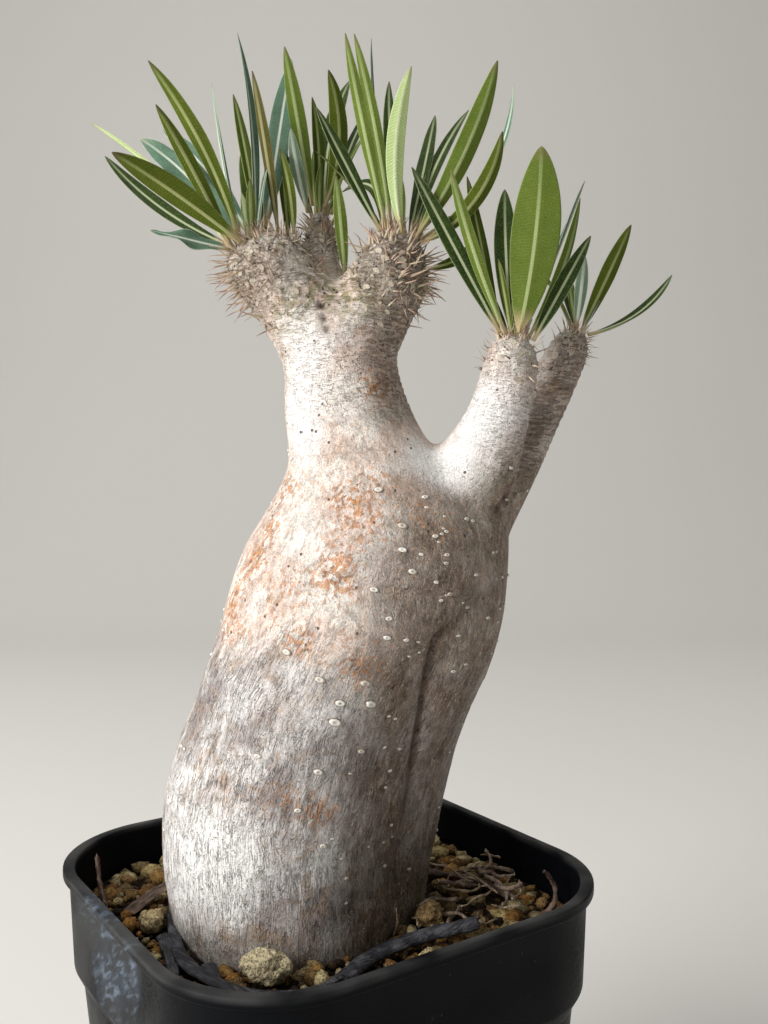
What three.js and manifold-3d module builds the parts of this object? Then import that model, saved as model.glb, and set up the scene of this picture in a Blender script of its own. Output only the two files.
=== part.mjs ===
// A potted pachypodium: a leaning, swollen caudex with five short limbs, each with a rosette of
// narrow leaves, growing in gritty mix in a square black nursery pot.
//
// Frame: millimetres, +Z up, origin at the middle of the pot's foot, pot sides square to X and Y.
// The plant, the stones and the dry litter share a frame of their own, turned about the pot's
// axis: x runs across the widest view of the plant, y runs away behind it.

import * as THREE from 'three';
import { mergeVertices } from 'three/addons/utils/BufferGeometryUtils.js';
import Module from 'manifold-3d';

const wasm = await Module();
wasm.setup();

// ---------------------------------------------------------------- driving dimensions (mm)

const POT_WIDTH = 105;          // across the lip, side to side
const POT_HEIGHT = 97;
const POT_CORNER = 27;          // outer corner radius at the lip
const POT_FOOT_WIDTH = 85;
const POT_WALL = 1.2;
const POT_FLOOR = 1.6;
const LIP_HEIGHT = 2.4;
const LIP_OVERHANG = 1.3;       // how far the lip stands out past the band
const BAND_HEIGHT = 21;         // the thickened band under the lip
const BAND_TAPER = 0.7;
const STEP_HEIGHT = 4;          // the slope under the band
const STEP_DEPTH = 1.9;
const DRAIN_RADIUS = 4;
const DRAIN_OFFSET = 22;

const MIX_DROP = 11;            // from the lip down to the mix
const CLEARANCE = 0.3;          // between pieces that touch

const PLANT_TURN = -34;         // degrees, the plant's turn in its pot
const TRUNK_GIRTH = 1;          // scales every section of the caudex
const LEAF_SCALE = 1;           // scales every leaf's length and width
const LEAF_THICKNESS = 1.1;     // at the midrib

// ---------------------------------------------------------------- materials

const finish = (color, roughness, metalness = 0) =>
  new THREE.MeshStandardMaterial({ color, roughness, metalness });

const MATERIALS = {
  pot: finish(0x17181b, 0.45),
  mix: finish(0x6f5332, 0.95),
  bark: finish(0xb3a79b, 0.7),
  leaf: finish(0x55702f, 0.5),
  stone: finish(0xb59a66, 0.9),
  litter: finish(0x5c4a3d, 0.8),
};

// ---------------------------------------------------------------- solids

/** Closes a run of equal rings, seen counterclockwise from the end, with a point at each end. */
function loft(start, rings, end) {
  const sides = rings[0].length;
  const points = [start, ...rings.flat(), end];
  const last = points.length - 1;
  const at = (ring, side) => 1 + ring * sides + (side % sides);
  const index = [];
  for (let side = 0; side < sides; side += 1) {
    index.push(0, at(0, side + 1), at(0, side));
    for (let ring = 0; ring + 1 < rings.length; ring += 1) {
      index.push(at(ring, side), at(ring, side + 1), at(ring + 1, side + 1));
      index.push(at(ring, side), at(ring + 1, side + 1), at(ring + 1, side));
    }
    index.push(last, at(rings.length - 1, side), at(rings.length - 1, side + 1));
  }
  const geometry = new THREE.BufferGeometry().setFromPoints(points);
  geometry.setIndex(index);
  return geometry;
}

/** Turns a closed geometry into a manifold solid. */
function toSolid(geometry) {
  const bare = geometry.clone();
  bare.deleteAttribute('normal');
  bare.deleteAttribute('uv');
  const merged = mergeVertices(bare, 1e-4);
  return new wasm.Manifold(new wasm.Mesh({
    numProp: 3,
    vertProperties: new Float32Array(merged.attributes.position.array),
    triVerts: new Uint32Array(merged.index.array),
  }));
}

/** Turns a manifold solid back into a geometry. */
function toGeometry(solid) {
  const mesh = solid.getMesh();
  const geometry = new THREE.BufferGeometry();
  geometry.setAttribute('position', new THREE.BufferAttribute(mesh.vertProperties, 3));
  geometry.setIndex(new THREE.BufferAttribute(mesh.triVerts, 1));
  return geometry;
}

/** Names a geometry as one piece of the object. */
function piece(name, geometry, material) {
  geometry.computeVertexNormals();
  const mesh = new THREE.Mesh(geometry, material);
  mesh.name = name;
  return mesh;
}

const vector = (x, y, z) => new THREE.Vector3(x, y, z);
const radians = THREE.MathUtils.degToRad;

// ---------------------------------------------------------------- pot

const LIP_HALF = POT_WIDTH / 2;
const BAND_HALF = LIP_HALF - LIP_OVERHANG;
const BAND_FOOT_HALF = BAND_HALF - BAND_TAPER;
const WALL_TOP_HALF = BAND_FOOT_HALF - STEP_DEPTH;
const FOOT_HALF = POT_FOOT_WIDTH / 2;
const LIP_Z = POT_HEIGHT - LIP_HEIGHT;
const BAND_Z = LIP_Z - BAND_HEIGHT;
const STEP_Z = BAND_Z - STEP_HEIGHT;
const MIX_Z = POT_HEIGHT - MIX_DROP;
const CORNER_STEPS = 6;

/** One level of the pot: a square with round corners, which shrink in step with it. */
function squareRing(half, z) {
  const corner = POT_CORNER * half / LIP_HALF;
  const ring = [];
  for (let turn = 0; turn < 4; turn += 1) {
    const diagonal = radians(45 + 90 * turn);
    const reach = (half - corner) * Math.SQRT2;
    for (let step = 0; step <= CORNER_STEPS; step += 1) {
      const angle = radians(90 * turn + 90 * step / CORNER_STEPS);
      const x = reach * Math.cos(diagonal) + corner * Math.cos(angle);
      const y = reach * Math.sin(diagonal) + corner * Math.sin(angle);
      ring.push(vector(x, y, z));
    }
  }
  return ring;
}

/** The inside half width of the pot at a height between its floor and its lip. */
function insideHalf(z) {
  const levels = [[0, FOOT_HALF], [STEP_Z, WALL_TOP_HALF], [BAND_Z, BAND_FOOT_HALF], [LIP_Z, BAND_HALF]];
  const above = Math.max(1, levels.findIndex(([level]) => level >= z));
  const [z0, half0] = levels[above - 1];
  const [z1, half1] = levels[above];
  return THREE.MathUtils.mapLinear(z, z0, z1, half0, half1) - POT_WALL;
}

function makePot() {
  const rings = [
    squareRing(FOOT_HALF, 0),
    squareRing(WALL_TOP_HALF, STEP_Z),
    squareRing(BAND_FOOT_HALF, BAND_Z),
    squareRing(BAND_HALF, LIP_Z),
    squareRing(LIP_HALF, LIP_Z),
    squareRing(LIP_HALF, POT_HEIGHT),
    squareRing(insideHalf(LIP_Z), POT_HEIGHT),
    squareRing(insideHalf(BAND_Z), BAND_Z),
    squareRing(insideHalf(STEP_Z), STEP_Z),
    squareRing(insideHalf(POT_FLOOR), POT_FLOOR),
  ];
  let pot = toSolid(loft(vector(0, 0, 0), rings, vector(0, 0, POT_FLOOR)));
  for (const x of [-DRAIN_OFFSET, DRAIN_OFFSET]) {
    for (const y of [-DRAIN_OFFSET, DRAIN_OFFSET]) {
      const drain = new THREE.CylinderGeometry(DRAIN_RADIUS, DRAIN_RADIUS, 4 * POT_FLOOR, 16);
      drain.rotateX(Math.PI / 2);
      drain.translate(x, y, 0);
      pot = pot.subtract(toSolid(drain));
    }
  }
  return piece('pot', toGeometry(pot), MATERIALS.pot);
}

// ---------------------------------------------------------------- caudex

// Every limb is a run of stations up its middle: x, y, height over the mix, half width across
// and half depth. The first two limbs share the foot and make the long furrow where they meet.
const LIMBS = {
  trunk: [
    [-6, -2, -34, 9, 9],
    [-7, -2, -26, 19, 19],
    [-8, -2, -12, 25, 26.5],
    [-8, -2.5, 0, 26.5, 29],
    [-9, -2.5, 11, 27.3, 29],
    [-8.7, -2.5, 21, 28, 29],
    [-7.5, -2.5, 31, 28.5, 29],
    [-5.5, -2.5, 41, 27.5, 28.5],
    [-2, -2, 50, 27.5, 28],
    [2, -2, 60, 28, 27],
    [7.5, -2, 69, 30.5, 26.5],
    [10.5, -2, 78, 31, 25.5],
    [12.5, -1.5, 88, 29, 23],
    [13.5, -1.5, 97, 24.5, 19.5],
    [11.5, -1, 105, 18.5, 16.5],
    [8.5, -1, 112, 15.8, 14.5],
    [6.5, -1, 120, 14.3, 13],
    [5.5, -1, 127, 13.3, 12.5],
    [4.5, -1, 136, 12.5, 12],
    [3.5, -1, 143, 9, 9],
    [3, -1, 147, 4, 4],
  ],
  lobe: [
    [8, 1, -30, 8, 9],
    [9, 1.5, -14, 12.5, 13],
    [10.5, 2, 0, 13.5, 15.5],
    [12.5, 2, 11, 13.3, 15.5],
    [15, 2, 21, 13, 15],
    [17.5, 2, 31, 12.5, 15],
    [20.5, 1, 41, 12.2, 15.5],
    [23.5, 0, 50, 12.5, 17],
    [27, 0, 60, 13.2, 18.5],
    [29, 0, 70, 14.2, 19],
    [29.5, 0.5, 80, 14.5, 19],
    [30.5, 0.5, 90, 13.7, 17],
    [32, 1, 98, 11, 13],
    [33, 1, 104, 6, 7],
  ],
  limbD: [
    [20, -1, 74, 12, 12],
    [27, -1.5, 87, 13, 13],
    [33, -3, 98, 11.5, 11.5],
    [37.5, -4.5, 107, 9.3, 9.3],
    [41, -6, 115, 7.4, 7.4],
    [43, -7, 123, 6.6, 6.6],
    [44, -8, 128, 6.2, 6.2],
    [44.5, -8, 131.5, 5.3, 5.3],
    [44.8, -8, 133.5, 2.8, 2.8],
  ],
  limbE: [
    [26, 2, 70, 12, 12],
    [33, 4, 87, 10.5, 10.5],
    [40, 6.5, 97, 8.5, 8.5],
    [47, 8.5, 107, 7, 7],
    [52.5, 10, 117, 6.2, 6.2],
    [57, 11.5, 126, 5.7, 5.7],
    [60.3, 12, 132.5, 5.2, 5.2],
    [62, 12, 136, 4.2, 4.2],
    [62.8, 12, 137.6, 2.2, 2.2],
  ],
  headA: [
    [2, -1, 132, 11, 11],
    [-2.5, -1.5, 139.5, 10, 10.5],
    [-8, -3, 147, 9, 9.5],
    [-13, -4.5, 152, 8.8, 9],
    [-15, -5.5, 155.5, 6.2, 6.5],
  ],
  budA: [
    [-4, 0, 144, 8, 8],
    [-7, 1.5, 153, 6, 6],
    [-7.6, 2, 157.4, 3, 3],
  ],
  headB: [
    [2, 3, 138, 7, 7],
    [1, 6.5, 150, 5, 5],
    [0.2, 8.5, 162, 4, 4],
    [0, 9, 166, 2.2, 2.2],
  ],
  headC: [
    [7, -1, 132, 11, 11],
    [12.5, -2, 141, 10, 10.5],
    [17, -4, 149, 8.7, 9],
    [19, -5.5, 154.5, 6.5, 7],
    [19.6, -6, 157, 3, 3.2],
  ],
  budC: [
    [17, 1, 143, 7, 7],
    [22.5, 5.5, 148, 4.8, 4.8],
    [25, 8, 151, 2.4, 2.4],
  ],
};
const BURIED = ['trunk', 'lobe'];
const LIMB_SIDES = { trunk: 26, lobe: 20, limbD: 18, limbE: 16, headA: 16, headC: 16 };
const BUD_SIDES = 12;
const RINGS_PER_STATION = 1.5;
const STATION_PITCH = 9;        // evens the pace of the size curve between stations

/**
 * Lofts one limb through its stations, with every section grown by the given amount. The limbs
 * that share the foot have level sections, and the others have sections square to their run.
 */
function limbSolid(name, grow = 0) {
  const stations = LIMBS[name];
  const middle = new THREE.CatmullRomCurve3(stations.map(([x, y, z]) => vector(x, y, MIX_Z + z)));
  const sizes = stations.map(([, , , across, deep], i) => vector(across, deep, STATION_PITCH * i));
  const girth = new THREE.CatmullRomCurve3(sizes);
  const sides = LIMB_SIDES[name] ?? BUD_SIDES;
  const steps = Math.round((stations.length - 1) * RINGS_PER_STATION);
  const rings = [];
  for (let step = 0; step <= steps; step += 1) {
    const centre = middle.getPoint(step / steps);
    const size = girth.getPoint(step / steps);
    const along = BURIED.includes(name) ? vector(0, 0, 1) : middle.getTangent(step / steps);
    const across = vector(0, 1, 0).cross(along).normalize();
    const deep = along.clone().cross(across);
    const ring = [];
    for (let side = 0; side < sides; side += 1) {
      const angle = 2 * Math.PI * side / sides;
      const point = centre.clone();
      point.addScaledVector(across, (size.x * TRUNK_GIRTH + grow) * Math.cos(angle));
      point.addScaledVector(deep, (size.y * TRUNK_GIRTH + grow) * Math.sin(angle));
      ring.push(point);
    }
    rings.push(ring);
  }
  const first = middle.getPoint(0).addScaledVector(middle.getTangent(0), -grow - 2);
  const top = middle.getPoint(1).addScaledVector(middle.getTangent(1), grow + 0.8);
  return toSolid(loft(first, rings, top));
}

/** Joins the named limbs into one solid. */
const joinLimbs = (names, grow) =>
  names.map((name) => limbSolid(name, grow)).reduce((whole, limb) => whole.add(limb));

const makeCaudex = () => piece('caudex', toGeometry(joinLimbs(Object.keys(LIMBS), 0)), MATERIALS.bark);

// ---------------------------------------------------------------- growing mix

/** Fills the pot to the mix line, with a socket for the buried foot of the caudex. */
function makeMix() {
  const levels = [POT_FLOOR + CLEARANCE, STEP_Z, BAND_Z, MIX_Z].filter((z) => z <= MIX_Z);
  const rings = levels.map((z) => squareRing(insideHalf(z) - CLEARANCE, z));
  const filling = loft(vector(0, 0, levels[0]), rings, vector(0, 0, MIX_Z));
  filling.rotateZ(-radians(PLANT_TURN));
  const mix = toSolid(filling).subtract(joinLimbs(BURIED, CLEARANCE));
  return piece('growing_mix', toGeometry(mix), MATERIALS.mix);
}

// ---------------------------------------------------------------- leaves

// A rosette has its crown's place (x, y) and its leaves. Each leaf is: foot across and away from
// the crown, bearing (degrees from +x), rise (degrees), length, width, turn about its own line
// (degrees), bow toward its upper side and sway to its side.
const ROSETTES = {
  a: {
    crown: [-14.5, -6],
    leaves: [
      [-2, -3, 212, 60, 41, 4, 30, 1.5, -1.5],
      [-4, -2, 228, 53, 33, 3.5, 35, 1.5, 0],
      [-1.5, -5, 219, 25, 33, 6, 40, 1.5, 0],
      [-4.5, 0.5, 174, 42, 44, 2.5, 25, 1.5, -1],
      [-4.5, 3, 167, 36, 39, 4, -55, -1, -2],
      [-4.5, -2, 205, 8, 18, 4.5, -80, 0, 0],
      [-3.5, 4.5, 158, 46, 38, 6.5, -65, 1, 2],
      [-1, 6.5, 149, 48, 40, 4.5, -50, 2, 1.5],
      [-2.5, 0, 155, 79, 37, 2.5, 10, -0.5, 0],
      [0.5, 2, 124, 81, 48, 3.5, 20, 1.5, 0.5],
      [3, 3.5, 67, 73, 45, 5.5, 20, 0.5, 0],
      [1, 7.5, 118, 67, 42, 3, 0, 1, 0],
    ],
  },
  g: {
    crown: [-7.8, 2],
    leaves: [
      [-1, -3.5, 233, 77, 35, 3, 10, 0.5, 0],
      [1, 3.5, 120, 83, 35, 3, 0, 0, -0.5],
      [2.5, -2, 235, 76, 19, 3, 5, 0.5, -0.5],
    ],
  },
  b: {
    crown: [0, 9],
    leaves: [
      [-1.5, -1.5, 247, 68, 35, 4, 15, 0.5, 0],
      [-2.5, -1.5, 260, 45, 21, 3, 5, 0.5, 0.5],
      [-0.5, 1.5, 105, 80, 29, 3, 0, 0, 1],
      [1.5, 2.5, 67, 69, 41, 5, 10, 1.5, -2],
      [3, 0, 60, 58, 40, 3, 0, 1, -1],
      [1.5, -2, 279, 68, 30, 4.5, 10, 0, -3],
      [6.5, -7, 250, 77, 23, 3, 15, 0.5, 0],
    ],
  },
  c: {
    crown: [19.2, -6],
    leaves: [
      [-3, -2, 232, 70, 41, 3, 20, 0.5, 0.5],
      [-2, 0.5, 213, 77, 42, 3, 35, 0.5, -0.5],
      [-0.5, 2.5, 123, 77, 48, 2.5, 45, -1.5, -1.5],
      [1.5, 5, 105, 71, 43, 3.5, 0, 0.5, -1.5],
      [0.5, -4, 279, 71, 34, 4, -5, 0.5, 2.5],
      [-4.5, 0.5, 172, 63, 32, 3.5, -65, 0, 0],
      [-4, 4, 129, 41, 20, 3, -50, 4, 5],
      [3.5, -2, 329, 60, 40, 5, -45, 0.5, -2],
      [3, 3, 40, 61, 37, 3, 40, 1, -1.5],
      [4.5, 1.5, 35, 55, 50, 2.5, 5, -4.5, 3.5],
      [5, -1, 337, 50, 29, 4, -45, -1.5, -3.5],
    ],
  },
  f: {
    crown: [25, 8],
    leaves: [
      [0.5, 0.5, 12, 32, 17.5, 3, 70, -0.5, 2],
    ],
  },
  d: {
    crown: [44.8, -8],
    leaves: [
      [-3.5, -0.5, 190, 61, 41, 4, -90, 0, 0],
      [-2.5, -3, 226, 60, 37, 3, 25, 0.5, 1],
      [-0.5, 2, 95, 78, 35, 5.5, -5, 0.5, -0.5],
      [0.5, -3, 284, 71, 39, 10.5, -20, 0.5, -1],
      [4, -0.5, 351, 61, 26, 4, 80, 0, 0],
      [-3, 3, 123, 73, 41, 3.5, 0, 0.5, -0.5],
      [3, 2, 34, 64, 38, 3.5, -80, -1.5, -1],
      [1.5, 4.5, 41, 60, 48, 2.5, 10, 1.5, 1.5],
    ],
  },
  e: {
    crown: [62.5, 12],
    leaves: [
      [1.5, 1.5, 25, 61, 31, 4.5, -90, 0, 0],
      [-0.5, -2.5, 273, 62, 17, 3, -5, 0, 0],
      [2.5, -1, 13, 34, 27, 3, 20, -2.5, 1.5],
    ],
  },
};
const LEAF_STEPS = 8;
const LEAF_FOOT_DEPTH = 0.5;    // extra height of a leaf's point over the bark

/** How wide a leaf is at a place along it, as a share of its greatest width. */
const leafOutline = (along) => Math.sin(Math.PI * along ** 1.2) ** 0.62;

/** Builds one leaf as a thin solid, folded a little along its midrib. */
function leafGeometry(foot, [, , bearing, rise, length, width, turn, bow, sway]) {
  const along = vector(1, 0, 0).applyAxisAngle(vector(0, -1, 0), radians(rise));
  along.applyAxisAngle(vector(0, 0, 1), radians(bearing));
  const upper = vector(0, 0, 1).projectOnPlane(along).normalize().applyAxisAngle(along, radians(turn));
  const side = along.clone().cross(upper);
  const spine = (t) => {
    const swing = 4 * t * (1 - t);
    const point = foot.clone().addScaledVector(along, length * LEAF_SCALE * t);
    return point.addScaledVector(upper, bow * swing).addScaledVector(side, sway * swing);
  };
  const rings = [];
  for (let step = 1; step <= LEAF_STEPS; step += 1) {
    const t = step / (LEAF_STEPS + 1);
    const half = width * LEAF_SCALE * leafOutline(t) / 2;
    const thick = LEAF_THICKNESS * (1 - 0.4 * t) / 2;
    const edge = spine(t).addScaledVector(upper, 0.15 * half);
    rings.push([
      edge.clone().addScaledVector(side, half),
      spine(t).addScaledVector(upper, thick),
      edge.clone().addScaledVector(side, -half),
      spine(t).addScaledVector(upper, -thick),
    ]);
  }
  rings.forEach((ring) => ring.reverse());
  return loft(foot, rings, spine(1));
}

/** Stands every leaf of every rosette on the bark of its crown. */
function makeLeaves(caudex) {
  const leaves = [];
  const sight = new THREE.Raycaster();
  for (const [rosette, { crown, leaves: rows }] of Object.entries(ROSETTES)) {
    rows.forEach((row, i) => {
      const [across, away] = row;
      sight.set(vector(crown[0] + across, crown[1] + away, 3 * POT_HEIGHT), vector(0, 0, -1));
      const foot = sight.intersectObject(caudex)[0].point;
      foot.z += CLEARANCE + LEAF_FOOT_DEPTH;
      const name = `leaf_${rosette}_${String(i + 1).padStart(2, '0')}`;
      leaves.push(piece(name, leafGeometry(foot, row), MATERIALS.leaf));
    });
  }
  return leaves;
}

// ---------------------------------------------------------------- stones and dry litter

const FOOT_CENTRE = vector(-5, -2, MIX_Z + 2);
const WALL_MARGIN = 2.5;        // litter stays this far inside the pot wall
const BARK_MARGIN = 1.5;        // and this far off the bark

// Stones lean on the bark. Each has a bearing about the trunk, a length, a depth and a height.
const STONES = {
  stone_front: [263, 11, 7.5, 7.5],
  stone_left: [198, 7, 6, 5.5],
  stone_right: [345, 9, 6.5, 6],
  stone_back: [95, 9, 7, 6.5],
};

// A piece of litter has an oval section (width, thickness) and runs through a line of places:
// bearing, share of the way from bark to wall, height over the mix.
const LITTER = {
  dry_leaf_corner: {
    section: [5, 1],
    places: [[168, 0.97, 9], [174, 0.88, 6.5], [180, 0.82, 4.5], [186, 0.82, 3]],
  },
  dry_leaf_left: {
    section: [4.5, 1],
    places: [[168, 0.1, 6], [174, 0.25, 5], [182, 0.5, 3]],
  },
  dry_leaf_curl: {
    section: [3, 1],
    places: [[211, 0.2, 4], [219, 0.25, 3.5], [229, 0.45, 2.5], [236, 0.75, 2]],
  },
  dry_leaf_front: {
    section: [3.5, 1.2],
    places: [[240, 0.12, 3], [248, 0.35, 2.5], [256, 0.52, 2.5], [265, 0.56, 2], [273, 0.52, 2]],
  },
  dry_stalk_front: {
    section: [4, 2.5],
    places: [[283, 0.45, 2], [303, 0.2, 3], [320, 0.3, 4], [334, 0.62, 6.5]],
  },
  dry_twig_right: {
    section: [2, 1.6],
    places: [[40, 0.1, 3], [24, 0.4, 3.5], [12, 0.6, 3.5], [3, 0.7, 2.5]],
  },
  dry_twig_upright: {
    section: [1.5, 1.2],
    places: [[351, 0.75, 1.5], [356, 0.92, 4], [359, 0.95, 7], [358, 0.85, 11]],
  },
};
const LITTER_STEPS = 8;
const SECTION_SIDES = 6;

/** Makes a finder of places on the mix between the bark and the pot wall. */
function makePlaces(caudex, pot) {
  const sight = new THREE.Raycaster();
  const reach = 2 * POT_WIDTH;
  return (bearing, share, height) => {
    const out = vector(Math.cos(radians(bearing)), Math.sin(radians(bearing)), 0);
    sight.set(FOOT_CENTRE.clone().addScaledVector(out, reach), out.clone().negate());
    const bark = sight.intersectObject(caudex)[0].point.addScaledVector(out, BARK_MARGIN);
    sight.set(FOOT_CENTRE, out);
    const wall = sight.intersectObject(pot)[0].point.addScaledVector(out, -WALL_MARGIN);
    return bark.lerp(wall, share).setZ(MIX_Z + height);
  };
}

/** Lowers or lifts a geometry until it rests on the mix. */
function rest(geometry) {
  geometry.computeBoundingBox();
  geometry.translate(0, 0, MIX_Z + CLEARANCE - geometry.boundingBox.min.z);
  return geometry;
}

function makeStone(name, [bearing, length, depth, height], place) {
  const lump = new THREE.IcosahedronGeometry(0.5, 1);
  lump.scale(depth, length, height);
  lump.rotateZ(radians(bearing));
  const out = vector(Math.cos(radians(bearing)), Math.sin(radians(bearing)), 0);
  const spot = place(bearing, 0, 0).addScaledVector(out, depth / 2);
  lump.translate(spot.x, spot.y, 0);
  return piece(name, rest(lump), MATERIALS.stone);
}

function makeLitter(name, { section: [width, thickness], places }, place) {
  const outline = new THREE.Shape();
  outline.absellipse(0, 0, thickness / 2, width / 2, 0, 2 * Math.PI);
  const path = new THREE.CatmullRomCurve3(places.map((entry) => place(...entry)));
  const strip = new THREE.ExtrudeGeometry(outline, {
    extrudePath: path,
    steps: LITTER_STEPS,
    curveSegments: SECTION_SIDES,
    bevelEnabled: false,
  });
  return piece(name, toGeometry(toSolid(rest(strip))), MATERIALS.litter);
}

// ---------------------------------------------------------------- assembly

const pachypodium = new THREE.Group();
const pot = makePot();
pachypodium.add(pot);

const plant = new THREE.Group();
plant.rotation.z = radians(PLANT_TURN);
const caudex = makeCaudex();
plant.add(makeMix(), caudex, ...makeLeaves(caudex));

const potRoundPlant = new THREE.Mesh(pot.geometry.clone().rotateZ(-radians(PLANT_TURN)), MATERIALS.pot);
const place = makePlaces(caudex, potRoundPlant);
for (const [name, size] of Object.entries(STONES)) plant.add(makeStone(name, size, place));
for (const [name, run] of Object.entries(LITTER)) plant.add(makeLitter(name, run, place));
pachypodium.add(plant);

export default pachypodium;
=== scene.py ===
"""Looks of a potted pachypodium: grown bark, spines, leaves, gritty mix, dry litter and pot.

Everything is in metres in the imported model's frame, with +Z up and the middle of the pot's foot
at the origin. Places on the plant are given in millimetres in the plant's own frame, which is
turned about the pot's axis: x runs across the widest view of the plant, y runs away behind it
and z is the height over the pot's foot.
"""

import logging
import math
import random
from collections.abc import Iterable, Sequence
from dataclasses import dataclass, field
from enum import Enum

import bmesh
import bpy
import numpy as np
from mathutils import Matrix, Vector, noise
from mathutils.bvhtree import BVHTree

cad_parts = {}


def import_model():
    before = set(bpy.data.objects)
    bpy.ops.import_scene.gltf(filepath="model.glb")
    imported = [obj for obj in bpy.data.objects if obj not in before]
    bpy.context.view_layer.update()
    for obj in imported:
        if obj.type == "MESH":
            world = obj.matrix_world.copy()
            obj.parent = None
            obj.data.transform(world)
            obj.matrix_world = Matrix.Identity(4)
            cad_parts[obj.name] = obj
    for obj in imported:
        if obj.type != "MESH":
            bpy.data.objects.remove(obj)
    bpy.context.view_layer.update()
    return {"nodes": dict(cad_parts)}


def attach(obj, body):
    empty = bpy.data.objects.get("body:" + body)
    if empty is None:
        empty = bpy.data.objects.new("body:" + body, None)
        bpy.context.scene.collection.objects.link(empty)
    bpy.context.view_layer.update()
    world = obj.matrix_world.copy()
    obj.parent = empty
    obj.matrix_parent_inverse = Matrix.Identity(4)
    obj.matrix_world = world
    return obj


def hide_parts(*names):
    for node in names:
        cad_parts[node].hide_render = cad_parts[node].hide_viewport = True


LOG = logging.getLogger("pachypodium")

BODY = "root"
MM = 0.001
PLANT_TURN = math.radians(-34)
TURN = Matrix.Rotation(PLANT_TURN, 3, "Z")
TO_FRAME = Matrix.Rotation(PLANT_TURN, 4, "Z") @ Matrix.Scale(MM, 4)
MIX_TOP = 86.0

Colour = tuple[float, float, float]
Place = tuple[float, float, float]
Thing = bpy.types.Object
Mesh = bpy.types.Mesh
BMesh = bmesh.types.BMesh
Material = bpy.types.Material
Socket = bpy.types.NodeSocket


# ---- helpers


def in_frame(place: Sequence[float]) -> Vector:
    """Turns a place on the plant, in millimetres, into a point of the model's frame."""
    return TO_FRAME @ Vector(place)


def bell(distance: np.ndarray | float, reach: float) -> np.ndarray | float:
    """Falls softly from 1 at no distance to almost 0 at twice the reach."""
    return np.exp(-((distance / reach) ** 2))


def ease(value: np.ndarray | float, low: float, high: float) -> np.ndarray | float:
    """Rises smoothly from 0 at low to 1 at high, or falls where high is the smaller."""
    share = np.clip((value - low) / (high - low), 0.0, 1.0)
    return share * share * (3.0 - 2.0 * share)


def mottle(places: np.ndarray, pitch: float, seed: float = 0.0) -> np.ndarray:
    """Gives smooth noise from -1 to 1 at every place."""
    rows = places / pitch + seed
    return np.fromiter((noise.noise(Vector(row)) for row in rows), float, len(rows))


def new_object(name: str, data: bpy.types.ID) -> Thing:
    """Makes an object and puts it in the scene.

    Args:
        name: Its name.
        data: Its mesh, light or camera.

    Returns:
        The object.
    """
    made = bpy.data.objects.new(name, data)
    bpy.context.scene.collection.objects.link(made)
    return made


def merged_copy(node: Thing) -> BMesh:
    """Copies a CAD node's mesh with its loose triangles joined.

    Args:
        node: The CAD node.

    Returns:
        The copy.
    """
    bm = bmesh.new()
    bm.from_mesh(node.data)
    bmesh.ops.remove_doubles(bm, verts=bm.verts, dist=1e-6)
    return bm


def with_modifiers(bm: BMesh, steps: Sequence[tuple[str, dict]]) -> Mesh:
    """Runs a mesh through modifiers and keeps only the result.

    Args:
        bm: The mesh to start from, which is freed.
        steps: The kind and the settings of each modifier, in order.

    Returns:
        The finished mesh.
    """
    start = bpy.data.meshes.new("blank")
    bm.to_mesh(start)
    bm.free()
    blank = new_object("blank", start)
    for kind, settings in steps:
        modifier = blank.modifiers.new(kind.lower(), kind)
        for setting, value in settings.items():
            setattr(modifier, setting, value)
    graph = bpy.context.evaluated_depsgraph_get()
    made = bpy.data.meshes.new_from_object(blank.evaluated_get(graph))
    bpy.data.objects.remove(blank)
    bpy.data.meshes.remove(start)
    return made


def add_piece(
    name: str, shape: BMesh | Mesh, finish: Material, stands_for: Sequence[str] = (),
) -> Thing:
    """Puts a finished shape in the scene as a piece of the plant or its pot.

    Args:
        name: The piece's name.
        shape: Its mesh, in the model's frame.
        finish: Its material.
        stands_for: The CAD nodes that it replaces.

    Returns:
        The piece's object.
    """
    if isinstance(shape, BMesh):
        mesh = bpy.data.meshes.new(name)
        shape.to_mesh(mesh)
        shape.free()
    else:
        mesh = shape
    mesh.materials.clear()
    mesh.materials.append(finish)
    mesh.shade_smooth()
    made = new_object(name, mesh)
    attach(made, BODY)
    if stands_for:
        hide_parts(*stands_for)
    LOG.info("%s: %d faces", name, len(mesh.polygons))
    return made


def skin(bm: BMesh, rings: Sequence[Sequence[Vector]]) -> list[list[bmesh.types.BMVert]]:
    """Extrudes a loop through equal rings and caps both its ends.

    Args:
        bm: The mesh to build in.
        rings: The places of each ring's points, from one end to the other.

    Returns:
        The vertices of every ring, in the rings' order.
    """
    loop = bmesh.ops.create_circle(bm, segments=len(rings[0]), radius=1.0)["verts"]
    edges = list(dict.fromkeys(e for v in loop for e in v.link_edges))
    made = [loop]
    for _ in rings[1:]:
        grown = bmesh.ops.extrude_edge_only(bm, edges=edges)["geom"]
        fresh = {item for item in grown if isinstance(item, bmesh.types.BMVert)}
        edges = [
            item for item in grown
            if isinstance(item, bmesh.types.BMEdge) and all(v in fresh for v in item.verts)
        ]
        loop = [next(e.other_vert(v) for e in v.link_edges if e.other_vert(v) in fresh) for v in loop]
        made.append(loop)
    for loop, ring in zip(made, rings):
        for vert, place in zip(loop, ring):
            vert.co = place
    for loop in (made[0], made[-1]):
        ends = [e for e in dict.fromkeys(e for v in loop for e in v.link_edges) if e.is_boundary]
        bmesh.ops.edgeloop_fill(bm, edges=ends)
    return made


def close_outward(bm: BMesh) -> None:
    """Closes any open foot and turns every face outward.

    Args:
        bm: The mesh.
    """
    rim = [edge for edge in bm.edges if edge.is_boundary]
    if rim:
        bmesh.ops.holes_fill(bm, edges=rim, sides=0)
    bmesh.ops.recalc_face_normals(bm, faces=bm.faces)


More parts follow.
